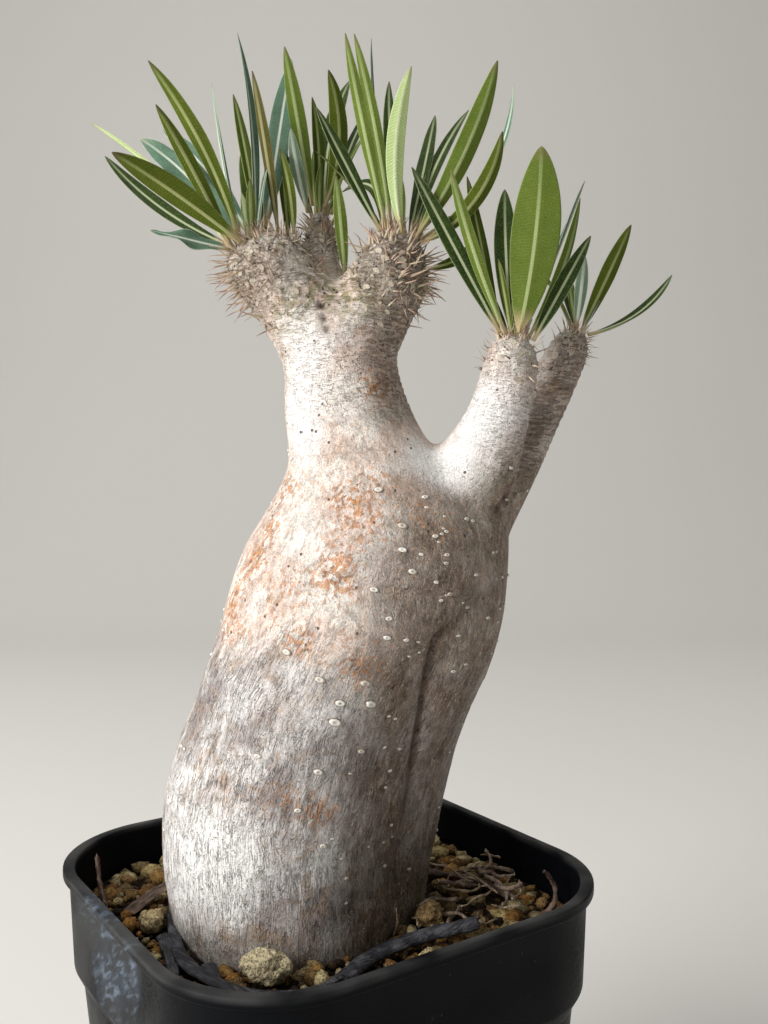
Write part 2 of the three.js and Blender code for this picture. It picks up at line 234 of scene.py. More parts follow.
def smooth_run(points: Sequence[Vector], share: float) -> Vector:
    """Gives the point at a share of the way along a smooth line through the points.

    Args:
        points: The points.
        share: The share, from 0 to 1.

    Returns:
        The point.
    """
    last = len(points) - 1
    spot = min(max(share, 0.0), 1.0) * last
    i = min(int(spot), last - 1)
    t = spot - i
    a, b = points[i], points[i + 1]
    before = points[i - 1] if i else a * 2 - b
    after = points[i + 2] if i + 2 <= last else b * 2 - a
    return 0.5 * (
        2 * a + (b - before) * t + (2 * before - 5 * a + 4 * b - after) * t**2
        + (3 * a - before - 3 * b + after) * t**3
    )


def round_bar(
    points: Sequence[Vector], radii: Sequence[float], steps: int, sides: int, flat: float = 1.0
) -> list[list[Vector]]:
    """Gives the rings of a round or flattened bar of changing thickness along a smooth line.

    Args:
        points: Points that the bar's middle runs through.
        radii: The bar's radius at each of them.
        steps: How many lengths it is made of.
        sides: How many sides it has.
        flat: Its thickness as a share of its width, which lies level.

    Returns:
        The rings, for skin().
    """
    middle = [smooth_run(points, step / steps) for step in range(steps + 1)]
    rings = []
    start = (middle[1] - middle[0]).normalized()
    level = start.cross(Vector((0.0, 0.0, 1.0)))
    across = level.normalized() if level.length > 0.1 else start.orthogonal().normalized()
    for step, centre in enumerate(middle):
        along = (middle[min(step + 1, steps)] - middle[max(step - 1, 0)]).normalized()
        across = (across - along * across.dot(along)).normalized()
        deep = along.cross(across)
        radius = float(np.interp(step / steps * (len(radii) - 1), range(len(radii)), radii))
        rings.append(
            [
                centre + across * radius * math.cos(2 * math.pi * side / sides)
                + deep * radius * flat * math.sin(2 * math.pi * side / sides) for side in range(sides)
            ]
        )
    return rings


class Surface:
    """A finished mesh that other pieces are set on."""

    def __init__(self, mesh: Mesh) -> None:
        """Reads the mesh into a search tree."""
        self.tree = BVHTree.FromPolygons(
            [vert.co for vert in mesh.vertices], [face.vertices[:] for face in mesh.polygons]
        )

    def facing(self, middle: Vector, toward: Vector, reach: float = 0.08) -> tuple[Vector, Vector] | None:
        """Finds the outer skin on one side of a point inside."""
        place, normal, _, _ = self.tree.ray_cast(middle + toward * reach, -toward, reach)
        return None if place is None else (place, normal)

    def outside_by(self, point: Vector) -> float:
        """Gives how far a point is outside the skin, below zero where it is inside."""
        place, normal, _, distance = self.tree.find_nearest(point)
        return distance if (point - place).dot(normal) > 0 else -distance


# ---- node recipes


class Recipe:
    """One material's node tree, written with short calls. Its lengths are millimetres."""

    def __init__(self, name: str, sockets: dict[str, float | Colour]) -> None:
        """Starts a material with one shader.

        Args:
            name: The material's name.
            sockets: Values that are the same all over, set on the shader itself.
        """
        self.material = bpy.data.materials.new(name)
        self.material.use_nodes = True
        self.tree = self.material.node_tree
        self.tree.nodes.clear()
        self.shader = self.node("ShaderNodeBsdfPrincipled")
        end = self.node("ShaderNodeOutputMaterial")
        self.tree.links.new(self.shader.outputs["BSDF"], end.inputs["Surface"])
        for socket, value in sockets.items():
            self.feed(self.shader.inputs[socket], value)
        self.colour: object = None

    def node(self, kind: str, **settings: object) -> bpy.types.Node:
        """Adds a node and sets its properties.

        Args:
            kind: The node's type.
            settings: Its properties.

        Returns:
            The node.
        """
        made = self.tree.nodes.new(kind)
        for setting, value in settings.items():
            setattr(made, setting, value)
        return made

    def feed(self, socket: Socket, value: object) -> None:
        """Links an output to a socket, or sets the socket to a plain value.

        Args:
            socket: The socket to fill.
            value: An output, a number, a place or a colour.
        """
        if isinstance(value, Socket):
            self.tree.links.new(value, socket)
        elif isinstance(value, tuple) and socket.type == "RGBA":
            socket.default_value = (*value, 1.0)
        else:
            socket.default_value = value

    def wear(self, socket: str, value: Socket) -> None:
        """Feeds a pattern to one of the shader's sockets."""
        self.feed(self.shader.inputs[socket], value)

    def spot(self) -> Socket:
        """Gives the place on the plant, in millimetres in the plant's own frame.

        Returns:
            The place, read from the object's own coordinates.
        """
        source = self.node("ShaderNodeTexCoord").outputs["Object"]
        turned = self.node("ShaderNodeMapping")
        self.feed(turned.inputs["Vector"], source)
        self.feed(turned.inputs["Scale"], (1000.0, 1000.0, 1000.0))
        self.feed(turned.inputs["Rotation"], (0.0, 0.0, -PLANT_TURN))
        return turned.outputs["Vector"]

    def read(self, attribute: str, output: str = "Color") -> Socket:
        """Reads one of the mesh's own attributes."""
        return self.node("ShaderNodeAttribute", attribute_name=attribute).outputs[output]

    def parts(self, value: Socket) -> list[Socket]:
        """Splits a colour or a vector into its three numbers.

        Args:
            value: The colour or vector.

        Returns:
            The three numbers.
        """
        made = self.node("ShaderNodeSeparateXYZ")
        self.feed(made.inputs[0], value)
        return list(made.outputs)

    def stretch(self, place: Socket, shares: Place) -> Socket:
        """Scales a place along each axis, so that a pattern on it is drawn out.

        Args:
            place: The place.
            shares: Its three scales.

        Returns:
            The scaled place.
        """
        made = self.node("ShaderNodeMapping")
        self.feed(made.inputs["Vector"], place)
        self.feed(made.inputs["Scale"], shares)
        return made.outputs["Vector"]

    def noise(self, place: Socket, pitch: float, detail: float = 2.0, warp: float = 0.0) -> Socket:
        """Gives cloudy noise from 0 to 1 with lumps of a size.

        Args:
            place: Where to read it.
            pitch: The lumps' size.
            detail: How many finer layers.
            warp: How far it is stirred.

        Returns:
            The noise.
        """
        made = self.node("ShaderNodeTexNoise")
        self.feed(made.inputs["Vector"], place)
        self.feed(made.inputs["Scale"], 1.0 / pitch)
        self.feed(made.inputs["Detail"], detail)
        self.feed(made.inputs["Distortion"], warp)
        return made.outputs["Fac"]

    def cells(self, place: Socket, pitch: float, feature: str = "F1") -> Socket:
        """Gives the distance from the middle or the edge of cells of a size.

        Args:
            place: Where to read it.
            pitch: The cells' size.
            feature: What it measures.

        Returns:
            The distance, as a share of the size.
        """
        made = self.node("ShaderNodeTexVoronoi", feature=feature)
        self.feed(made.inputs["Vector"], place)
        self.feed(made.inputs["Scale"], 1.0 / pitch)
        return made.outputs["Distance"]

    def maths(self, how: str, *values: object, clamp: bool = False) -> Socket:
        """Works one sum.

        Args:
            how: The kind of sum.
            values: Its one to three values.
            clamp: Keeps the result from 0 to 1.

        Returns:
            The result.
        """
        made = self.node("ShaderNodeMath", operation=how, use_clamp=clamp)
        for socket, value in zip(made.inputs, values):
            self.feed(socket, value)
        return made.outputs[0]

    def times(self, a: object, b: object, clamp: bool = False) -> Socket:
        """Multiplies two values."""
        return self.maths("MULTIPLY", a, b, clamp=clamp)

    def plus(self, a: object, b: object, clamp: bool = False) -> Socket:
        """Adds two values."""
        return self.maths("ADD", a, b, clamp=clamp)

    def minus(self, a: object, b: object, clamp: bool = False) -> Socket:
        """Takes the second value from the first."""
        return self.maths("SUBTRACT", a, b, clamp=clamp)

    def span(
        self, value: Socket, low: float, high: float, to: tuple[float, float] = (0.0, 1.0)
    ) -> Socket:
        """Maps a range smoothly to another one.

        Args:
            value: The value.
            low: The value that becomes the first of to.
            high: The value that becomes the second.
            to: The two ends of the result.

        Returns:
            The result.
        """
        made = self.node("ShaderNodeMapRange", interpolation_type="SMOOTHSTEP")
        self.feed(made.inputs["Value"], value)
        self.feed(made.inputs["From Min"], low)
        self.feed(made.inputs["From Max"], high)
        self.feed(made.inputs["To Min"], to[0])
        self.feed(made.inputs["To Max"], to[1])
        return made.outputs["Result"]

    def vein(self, value: Socket, width: float) -> Socket:
        """Gives thin lines, 1 where noise crosses its middle value and 0 a width away."""
        away = self.maths("ABSOLUTE", self.minus(value, 0.5))
        return self.span(away, width, 0.0)

    def mix(self, share: object, low: object, high: object, how: str = "MIX") -> Socket:
        """Blends two colours by a share.

        Args:
            share: How much of the second shows.
            low: The first colour.
            high: The second colour.
            how: How they blend.

        Returns:
            The blend.
        """
        made = self.node("ShaderNodeMix", data_type="RGBA", blend_type=how)
        self.feed(made.inputs[0], share)
        self.feed(made.inputs[6], low)
        self.feed(made.inputs[7], high)
        return made.outputs[2]

    def lay(self, share: object, coat: object, how: str = "MIX") -> None:
        """Lays another coat over the colour so far."""
        self.colour = self.mix(share, self.colour, coat, how)

    def ramp(self, value: Socket, stops: Sequence[tuple[float, Colour]]) -> Socket:
        """Turns a value into a colour through a row of stops.

        Args:
            value: The value.
            stops: The value and colour of each stop.

        Returns:
            The colour.
        """
        made = self.node("ShaderNodeValToRGB")
        row = made.color_ramp.elements
        while len(row) < len(stops):
            row.new(0.5)
        for element, (position, colour) in zip(row, stops):
            element.position = position
            element.color = (*colour, 1.0)
        self.feed(made.inputs["Fac"], value)
        return made.outputs["Color"]

    def relief(self, height: Socket, depth: float, under: Socket | None = None) -> Socket:
        """Raises the surface by a pattern.

        Args:
            height: The pattern, from 0 to 1.
            depth: How high 1 stands, in millimetres.
            under: Another relief below it.

        Returns:
            The normal, for the shader or another relief.
        """
        made = self.node("ShaderNodeBump")
        self.feed(made.inputs["Distance"], depth * MM)
        self.feed(made.inputs["Height"], height)
        if under is not None:
            self.feed(made.inputs["Normal"], under)
        return made.outputs["Normal"]


# ---- finishes


@dataclass(frozen=True)
class BarkFinish:
    """Grown bark: smooth cream and pink above, wrinkled silver-grey below, with fine stains."""

    cream: Colour = (0.86, 0.80, 0.735)
    pink: Colour = (0.74, 0.55, 0.47)
    tan: Colour = (0.50, 0.375, 0.27)
    silver: Colour = (0.76, 0.74, 0.72)
    grey: Colour = (0.44, 0.395, 0.385)
    violet: Colour = (0.29, 0.245, 0.245)
    ochre: Colour = (0.40, 0.27, 0.165)
    salmon: Colour = (0.72, 0.36, 0.19)
    orange: Colour = (0.56, 0.23, 0.06)
    rust: Colour = (0.27, 0.125, 0.06)
    chalk_and_sheen: Colour = (0.95, 0.94, 0.925)
    brown: Colour = (0.160, 0.098, 0.052)
    moss: Colour = (0.21, 0.20, 0.07)
    thread: Colour = (0.78, 0.72, 0.64)
    crack: Colour = (0.085, 0.05, 0.032)

    def make(self) -> Material:
        """Writes the material, which reads the attributes of the Caudex's mesh.

        Returns:
            The material.
        """
        r = Recipe("grown_bark", {"Specular IOR Level": 0.24})
        spot = r.spot()
        grain = r.read("grain", "Vector")
        wrinkled, stained, pale = r.parts(r.read("zones"))
        shaded, mossy, purple = r.parts(r.read("tints"))
        ringed, rough, crease_shade = r.parts(r.read("growth"))
        smooth = r.minus(1.0, wrinkled, True)

        cloud = r.noise(spot, 9.0, 3.0, 0.4)
        patch = r.noise(spot, 3.4, 4.0, 0.6)
        speck = r.noise(r.stretch(grain, (1.0, 1.0, 0.7)), 0.95, 4.0, 0.4)
        grit = r.noise(spot, 0.34, 3.0)

        smooth_bark = r.mix(r.span(cloud, 0.40, 0.60, (0.0, 0.62)), self.cream, self.pink)
        smooth_bark = r.mix(r.span(patch, 0.52, 0.72, (0.0, 0.65)), smooth_bark, self.tan)
        old_bark = r.ramp(cloud, ((0.28, self.violet), (0.43, self.grey), (0.58, self.silver)))
        old_bark = r.mix(r.span(patch, 0.50, 0.66, (0.0, 0.6)), old_bark, self.ochre)
        r.colour = r.mix(wrinkled, smooth_bark, old_bark)
        r.lay(r.times(purple, 0.7), self.violet)
        # Brown on the right side: partly the bark's own darker tone, partly painted shade on the side turned
        # from the key lamp.
        dark = r.times(shaded, r.span(patch, 0.25, 0.60, (1.0, 0.80)))
        r.lay(dark, self.brown)
        lifted = r.span(r.noise(r.stretch(grain, (1.0, 1.0, 0.5)), 1.6, 4.0, 1.2), 0.54, 0.66, (0.0, 0.30))
        r.lay(r.times(lifted, shaded), self.thread)

        fleck = r.span(r.maths("MULTIPLY_ADD", stained, 0.17, speck), 0.575, 0.635)
        near = r.plus(stained, r.times(smooth, 0.22), True)
        fleck = r.times(fleck, r.maths("POWER", near, 0.6))
        stain = r.mix(r.span(r.noise(spot, 1.9, 3.0), 0.40, 0.55), self.salmon, self.orange)
        stain = r.mix(r.span(r.noise(spot, 1.1, 3.0), 0.52, 0.64), stain, self.rust)
        r.lay(r.times(fleck, 0.85), stain)
        freckle = r.span(r.noise(spot, 0.62, 4.0), 0.53, 0.68, (0.0, 0.34))
        r.lay(freckle, self.violet)

        # Near-white chalk: the bark's own pale bloom, and painted sheen where the key lamp falls low on the
        # front left.
        bloom_and_sheen = r.times(pale, r.span(r.maths("MULTIPLY_ADD", pale, 0.9, speck), 0.55, 1.0))
        r.lay(r.times(bloom_and_sheen, 0.9), self.chalk_and_sheen)
        growth = r.times(mossy, r.span(r.noise(spot, 1.6, 3.0), 0.42, 0.58))
        r.lay(r.times(growth, 0.75), self.moss)

        long_grain = r.stretch(grain, (1.0, 1.0, 0.13))
        cracks = r.vein(r.noise(long_grain, 0.85, 3.0, 1.0), 0.034)
        cracks = r.times(cracks, r.maths("MULTIPLY_ADD", wrinkled, 0.80, 0.20))
        cracks = r.times(cracks, r.span(r.noise(spot, 3.5, 2.0), 0.30, 0.62))
        r.lay(r.times(cracks, 0.42), self.crack)
        loose = r.noise(r.stretch(grain, (1.0, 1.0, 0.26)), 2.1, 3.0, 1.3)
        threads = r.times(r.vein(loose, 0.020), r.span(r.noise(spot, 5.0, 1.0), 0.36, 0.50))
        worn = r.maths("MAXIMUM", wrinkled, r.times(shaded, 1.2, True))
        threads = r.times(threads, worn)
        fuzz = r.vein(r.noise(r.stretch(grain, (1.0, 1.0, 0.5)), 1.1, 3.0, 1.2), 0.022)
        fuzz = r.times(fuzz, r.times(shaded, 0.55))
        r.lay(r.maths("MAXIMUM", r.times(threads, 0.85), fuzz), self.thread)
        salt = r.span(grit, 0.36, 0.64, (0.80, 1.14))
        r.lay(1.0, salt, "MULTIPLY")
        pale_share = r.maths("MULTIPLY_ADD", pale, -0.75, 1.0)
        streaky = r.noise(r.stretch(grain, (1.0, 1.0, 0.45)), 2.1, 5.0, 1.0)
        mottled = r.mix(pale_share, (1.0, 1.0, 1.0), r.span(streaky, 0.36, 0.62, (0.78, 1.12)))
        r.lay(1.0, mottled, "MULTIPLY")

        pit = r.span(r.cells(spot, 3.0), 0.13, 0.07)
        pit = r.times(pit, r.times(smooth, r.span(cloud, 0.48, 0.54)))
        r.lay(r.times(pit, 0.9), self.crack)
        knobs = r.cells(r.stretch(spot, (1.0, 1.0, 1.3)), 1.5, "DISTANCE_TO_EDGE")
        gaps = r.times(r.span(knobs, 0.20, 0.02), rough)
        r.lay(r.times(gaps, 0.75), self.crack)
        r.lay(r.times(rough, 0.55), (0.29, 0.25, 0.17))

        flat_grain = r.stretch(grain, (0.42, 0.42, 1.25))
        dashes = r.span(r.noise(flat_grain, 0.85, 1.0, 0.3), 0.50, 0.60)
        dashes = r.times(dashes, ringed)
        # Painted shade in the sunken dashes, stronger on the darker right side.
        under = r.times(dashes, r.maths("MULTIPLY_ADD", shaded, 0.5, 0.10))
        r.lay(under, self.crack)
        # Painted shade in the furrow and the pits.
        r.lay(r.times(crease_shade, 0.9), self.crack)
        r.wear("Base Color", r.colour)
        r.wear("Roughness", r.span(r.noise(spot, 1.1, 2.0), 0.3, 0.7, (0.40, 0.62)))

        height = r.minus(threads, cracks)
        normal = r.relief(height, 0.30)
        normal = r.relief(r.minus(1.0, dashes), 0.30, normal)
        normal = r.relief(grit, 0.17, normal)
        normal = r.relief(r.times(r.span(knobs, 0.0, 0.28), rough), 0.5, normal)
        r.wear("Normal", r.relief(r.minus(speck, pit), 0.26, normal))
        return r.material


@dataclass(frozen=True)
class LeafFinish:
    """A narrow leaf's two faces, its pale midrib, cross veins, tip and foot."""

    name: str
    upper: Colour
    under: Colour
    rib: Colour
    tip: Colour
    foot: Colour = (0.50, 0.40, 0.22)
    vein_strength: float = 0.07
    roughness: float = 0.46

    def make(self) -> Material:
        """Writes the material, which reads where on its blade each point is.

        Returns:
            The material.
        """
        r = Recipe(self.name, {"Specular IOR Level": 0.08})
        spread, run, face = r.parts(r.read("blade", "Vector"))
        reach = r.read("reach", "Fac")
        breadth = r.read("breadth", "Fac")
        spot = r.spot()
        away = r.maths("ABSOLUTE", spread)
        from_rib = r.times(away, breadth)
        from_edge = r.minus(breadth, from_rib)

        upper = r.mix(r.span(r.noise(spot, 5.0, 2.0), 0.35, 0.7, (0.0, 0.45)), self.upper, self.under)
        under = r.mix(r.span(r.noise(spot, 4.0, 2.0), 0.35, 0.7, (0.0, 0.35)), self.under, self.upper)
        r.colour = r.mix(face, under, upper)

        slope = r.plus(run, r.times(away, 1.1))
        slope = r.plus(slope, r.times(r.noise(spot, 1.4, 1.0), 0.5))
        wave = r.maths("SINE", r.times(slope, 9.5))
        veins = r.span(wave, 0.3, 1.0)
        below = r.minus(1.15, face, True)
        show = r.times(veins, r.times(below, self.vein_strength))
        r.lay(show, self.rib)
        mesh_lines = r.span(r.cells(spot, 0.55, "DISTANCE_TO_EDGE"), 0.10, 0.0)
        r.lay(r.times(mesh_lines, 0.12), self.rib)

        fade = r.span(reach, 0.99, 0.45)
        narrow = r.span(from_rib, 0.36, 0.15)
        broad = r.span(from_rib, 0.52, 0.20)
        line = r.plus(r.times(narrow, face), r.times(broad, below))
        line = r.times(line, r.maths("MULTIPLY_ADD", fade, 0.7, 0.3))
        r.lay(r.maths("MINIMUM", line, 0.92), self.rib)
        edge = r.span(from_edge, 0.17, 0.03, (0.0, 0.6))
        r.lay(edge, self.rib)

        tipped = r.span(reach, 0.90, 1.0, (0.0, 0.7))
        r.lay(tipped, self.tip)
        footed = r.span(reach, 0.16, 0.02)
        r.lay(footed, self.foot)
        fleck = r.span(r.noise(spot, 0.7, 3.0), 0.66, 0.74, (0.0, 0.35))
        r.lay(fleck, self.tip)
        r.wear("Base Color", r.colour)
        gloss = (self.roughness, self.roughness + 0.16)
        r.wear("Roughness", r.span(r.noise(spot, 2.0, 2.0), 0.3, 0.7, gloss))
        normal = r.relief(r.times(veins, below), 0.045)
        normal = r.relief(r.noise(spot, 0.5, 2.0), 0.07, normal)
        r.wear("Normal", normal)
        return r.material


class LeafTone(Enum):
    """The finishes that the leaves come in."""

    OLIVE = LeafFinish(
        "olive_leaf", (0.050, 0.085, 0.006), (0.088, 0.125, 0.006), (0.46, 0.50, 0.22),
        (0.09, 0.055, 0.03),
    )
    DEEP = LeafFinish(
        "deep_green_leaf", (0.016, 0.038, 0.004), (0.042, 0.074, 0.007), (0.52, 0.58, 0.36),
        (0.05, 0.07, 0.02),
    )
    BLUE = LeafFinish(
        "blue_green_leaf", (0.090, 0.185, 0.122), (0.180, 0.280, 0.190), (0.80, 0.86, 0.74),
        (0.30, 0.34, 0.24),
    )
    FRESH = LeafFinish(
        "fresh_green_leaf", (0.075, 0.125, 0.012), (0.120, 0.176, 0.022), (0.44, 0.52, 0.24),
        (0.20, 0.17, 0.07),
    )
    SUNLIT = LeafFinish(
        "sunlit_leaf", (0.33, 0.45, 0.16), (0.42, 0.56, 0.22), (0.74, 0.82, 0.52), (0.40, 0.38, 0.22),
        vein_strength=0.50,
    )
    BRONZE = LeafFinish(
        "bronze_leaf", (0.070, 0.070, 0.014), (0.105, 0.095, 0.018), (0.42, 0.40, 0.22),
        (0.09, 0.045, 0.04),
    )


@dataclass(frozen=True)
class SpineFinish:
    """Dry spines and scales: cream at the foot, pink-brown along, dark at the point."""

    foot: Colour = (0.66, 0.57, 0.43)
    body: Colour = (0.52, 0.36, 0.27)
    point: Colour = (0.20, 0.105, 0.075)

    def make(self) -> Material:
        """Writes the material, which reads how far along each spine a point is.

        Returns:
            The material.
        """
        r = Recipe("dry_spine", {"Specular IOR Level": 0.4, "Roughness": 0.5})
        reach = r.read("reach", "Fac")
        spot = r.spot()
        swing = r.plus(reach, r.span(r.noise(spot, 3.0, 2.0), 0.3, 0.7, (-0.25, 0.25)))
        r.colour = r.ramp(swing, ((0.10, self.foot), (0.55, self.body), (0.95, self.point)))
        bleach = r.span(r.noise(spot, 1.7, 1.0), 0.52, 0.68, (0.0, 0.6))
        r.lay(bleach, (0.66, 0.58, 0.44))
        r.wear("Base Color", r.colour)
        r.wear("Normal", r.relief(r.noise(r.stretch(spot, (3.0, 3.0, 0.6)), 0.5, 2.0), 0.05))
        return r.material


@dataclass(frozen=True)
class ScarFinish:
    """Raised pores and old leaf scars, pale on top and brown round the rim."""

    name: str = "bark_scar"
    top: Colour = (0.90, 0.87, 0.80)
    rim: Colour = (0.19, 0.12, 0.075)

    def make(self) -> Material:
        """Writes the material, which reads how high up its mound a point is.

        Returns:
            The material.
        """
        r = Recipe(self.name, {"Specular IOR Level": 0.35, "Roughness": 0.6})
        reach = r.read("reach", "Fac")
        spot = r.spot()
        swing = r.plus(reach, r.span(r.noise(spot, 0.6, 2.0), 0.3, 0.7, (-0.2, 0.2)))
        r.colour = r.mix(r.span(swing, 0.25, 0.70), self.rim, self.top)
        r.lay(r.span(r.noise(spot, 5.0, 1.0), 0.45, 0.7, (0.0, 0.55)), (0.50, 0.40, 0.30))
        r.wear("Base Color", r.colour)
        r.wear("Normal", r.relief(r.noise(spot, 0.3, 2.0), 0.08))
        return r.material


@dataclass(frozen=True)
class GrainFinish:
    """Loose grains, each with a tint of its own, with pores and dust."""

    name: str
    dark: Colour
    roughness: float = 0.9

    def make(self) -> Material:
        """Writes the material, which reads each grain's tint.

        Returns:
            The material.
        """
        r = Recipe(self.name, {"Specular IOR Level": 0.2, "Roughness": self.roughness})
        spot = r.spot()
        tint = r.read("tint")
        pores = r.span(r.cells(spot, 0.5), 0.42, 0.16)
        r.colour = r.mix(r.times(pores, 0.5), tint, self.dark)
        cloud = r.span(r.noise(spot, 0.9, 3.0), 0.3, 0.7, (0.62, 1.25))
        r.lay(1.0, cloud, "MULTIPLY")
        r.wear("Base Color", r.colour)
        normal = r.relief(r.minus(r.noise(spot, 0.45, 3.0), pores), 0.3)
        r.wear("Normal", normal)
        return r.material


@dataclass(frozen=True)
class MixFinish:
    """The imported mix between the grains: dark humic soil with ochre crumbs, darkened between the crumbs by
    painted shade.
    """

    humus_and_shade: Colour = (0.012, 0.007, 0.004)
    crumb: Colour = (0.12, 0.07, 0.025)

    def make(self) -> Material:
        """Writes the material.

        Returns:
            The material.
        """
        r = Recipe("packed_mix", {"Specular IOR Level": 0.15, "Roughness": 0.95})
        spot = r.spot()
        body = r.cells(spot, 1.5)
        r.colour = r.mix(r.span(r.noise(spot, 1.8, 3.0), 0.5, 0.62), self.humus_and_shade, self.crumb)
        # Between the crumbs: the mix's own dark colour, deepened by painted shade.
        r.lay(r.span(body, 0.35, 0.75), self.humus_and_shade)
        r.wear("Base Color", r.colour)
        normal = r.relief(r.span(body, 0.8, 0.0), 1.0)
        r.wear("Normal", r.relief(r.noise(spot, 0.4, 3.0), 0.3, normal))
        return r.material


@dataclass(frozen=True)
class LitterFinish:
    """Dry leaves, stalks and roots with ribs along their length."""

    name: str
    light: Colour
    middle: Colour
    dark: Colour

    def make(self) -> Material:
        """Writes the material, which reads the run of each dry piece.

        Returns:
            The material.
        """
        r = Recipe(self.name, {"Specular IOR Level": 0.3})
        spot = r.spot()
        run = r.read("run", "Vector")
        ribs = r.noise(r.stretch(run, (0.12, 1.0, 1.0)), 0.5, 3.0, 0.3)
        cloud = r.noise(spot, 3.2, 3.0, 0.5)
        r.colour = r.ramp(cloud, ((0.32, self.dark), (0.50, self.middle), (0.70, self.light)))
        r.lay(r.span(ribs, 0.52, 0.70, (0.0, 0.6)), self.light)
        r.lay(r.span(ribs, 0.46, 0.32, (0.0, 0.75)), self.dark)
        r.wear("Base Color", r.colour)
        r.wear("Roughness", r.span(cloud, 0.3, 0.7, (0.52, 0.82)))
        r.wear("Normal", r.relief(r.noise(spot, 0.4, 2.0), 0.12, r.relief(ribs, 0.5)))
        return r.material


@dataclass(frozen=True)
class PotFinish:
    """Moulded black plastic with a dull dust film, scuffs on one side and a few thin scratches."""

    plastic: Colour = (0.0026, 0.0032, 0.0046)
    dust: Colour = (0.045, 0.046, 0.048)
    scuff: Colour = (0.20, 0.255, 0.33)
    scuff_middle: Place = (-45.0, -30.0, 88.0)
    scratch_middle: Place = (14.0, -36.0, 80.0)
    stroke_tilt: float = 38.0
    stroke_turn: float = 35.0

    def make(self) -> Material:
        """Writes the material.

        Returns:
            The material.
        """
        r = Recipe("pot_plastic", {"Specular IOR Level": 0.06})
        spot = r.spot()
        cloud = r.noise(spot, 16.0, 3.0)
        film = r.times(r.span(cloud, 0.35, 0.75), r.span(r.noise(spot, 0.8, 3.0), 0.35, 0.7))
        r.colour = r.mix(r.times(film, 0.05), self.plastic, self.dust)
        specks = r.span(r.cells(spot, 4.2), 0.075, 0.03)
        r.lay(r.times(specks, 0.5), self.dust)

        slanted = self.slanted(r, spot)
        rubbed = self.near(r, spot, self.scuff_middle, 26.0)
        strokes = r.noise(r.stretch(slanted, (0.10, 1.0, 1.0)), 1.3, 2.5, 0.3)
        worn = r.times(r.span(strokes, 0.44, 0.74), rubbed)
        worn = r.times(worn, r.span(r.noise(spot, 6.0, 2.0), 0.34, 0.60))
        r.lay(r.times(worn, 0.75), self.scuff)
        haze = r.times(rubbed, r.span(cloud, 0.35, 0.65, (0.02, 0.20)))
        r.lay(haze, self.scuff)

        height = r.parts(spot)[2]
        # Lighter top of the lip: partly dust, partly a painted highlight.
        lip = r.times(r.span(height, 95.4, 96.7), r.span(r.noise(spot, 14.0, 2.0), 0.3, 0.7))
        r.lay(r.times(lip, 0.50), (0.10, 0.10, 0.10))

        nearby = self.near(r, spot, self.scratch_middle, 17.0)
        threads = r.vein(r.noise(spot, 5.5, 1.5, 1.6), 0.012)
        hairs = r.vein(r.noise(spot, 3.6, 1.0, 0.8), 0.008)
        lines = r.times(r.maths("MAXIMUM", threads, hairs), nearby)
        lines = r.times(lines, r.span(r.noise(spot, 4.5, 1.0), 0.45, 0.55))
        r.lay(r.times(lines, 0.7), (0.34, 0.35, 0.36))
        r.wear("Base Color", r.colour)
        gloss = r.span(cloud, 0.3, 0.7, (0.34, 0.46))
        gloss = r.plus(gloss, r.times(r.maths("MAXIMUM", worn, film), 0.2))
        r.wear("Roughness", gloss)
        normal = r.relief(r.noise(spot, 0.55, 2.0), 0.035)
        r.wear("Normal", r.relief(r.maths("MAXIMUM", worn, lines), 0.05, normal))
        return r.material

    def near(self, r: Recipe, spot: Socket, middle: Place, reach: float) -> Socket:
        """Gives 1 at a place and 0 a reach away from it.

        Args:
            r: The material's recipe.
            spot: Where it is read.
            middle: The place.
            reach: How far it spreads.

        Returns:
            The share, with a ragged rim.
        """
        gap = r.node("ShaderNodeVectorMath", operation="DISTANCE")
        r.feed(gap.inputs[0], spot)
        r.feed(gap.inputs[1], middle)
        ragged = r.maths("MULTIPLY_ADD", r.noise(spot, reach * 0.4, 3.0), reach * 1.4, gap.outputs["Value"])
        return r.span(ragged, reach * 1.55, reach * 0.8)

    def slanted(self, r: Recipe, spot: Socket) -> Socket:
        """Tilts a place in the scuffed wall, so that strokes on it run down a slope.

        Args:
            r: The material's recipe.
            spot: The place.

        Returns:
            The tilted place.
        """
        made = r.node("ShaderNodeMapping")
        r.feed(made.inputs["Vector"], spot)
        tilt = (0.0, math.radians(self.stroke_tilt), math.radians(self.stroke_turn))
        r.feed(made.inputs["Rotation"], tilt)
        return made.outputs["Vector"]


@dataclass(frozen=True)
class StageFinish:
    """Plain pale paper under and behind the plant."""

    paper: Colour = (0.80, 0.785, 0.755)

    def make(self) -> Material:
        """Writes the material.

        Returns:
            The material.
        """
        r = Recipe("stage_paper", {"Specular IOR Level": 0.1, "Roughness": 0.9})
        cloud = r.noise(r.spot(), 260.0, 2.0)
        r.wear("Base Color", r.mix(r.span(cloud, 0.3, 0.7, (0.0, 0.12)), self.paper, (0.84, 0.83, 0.81)))
        return r.material


# ---- caudex


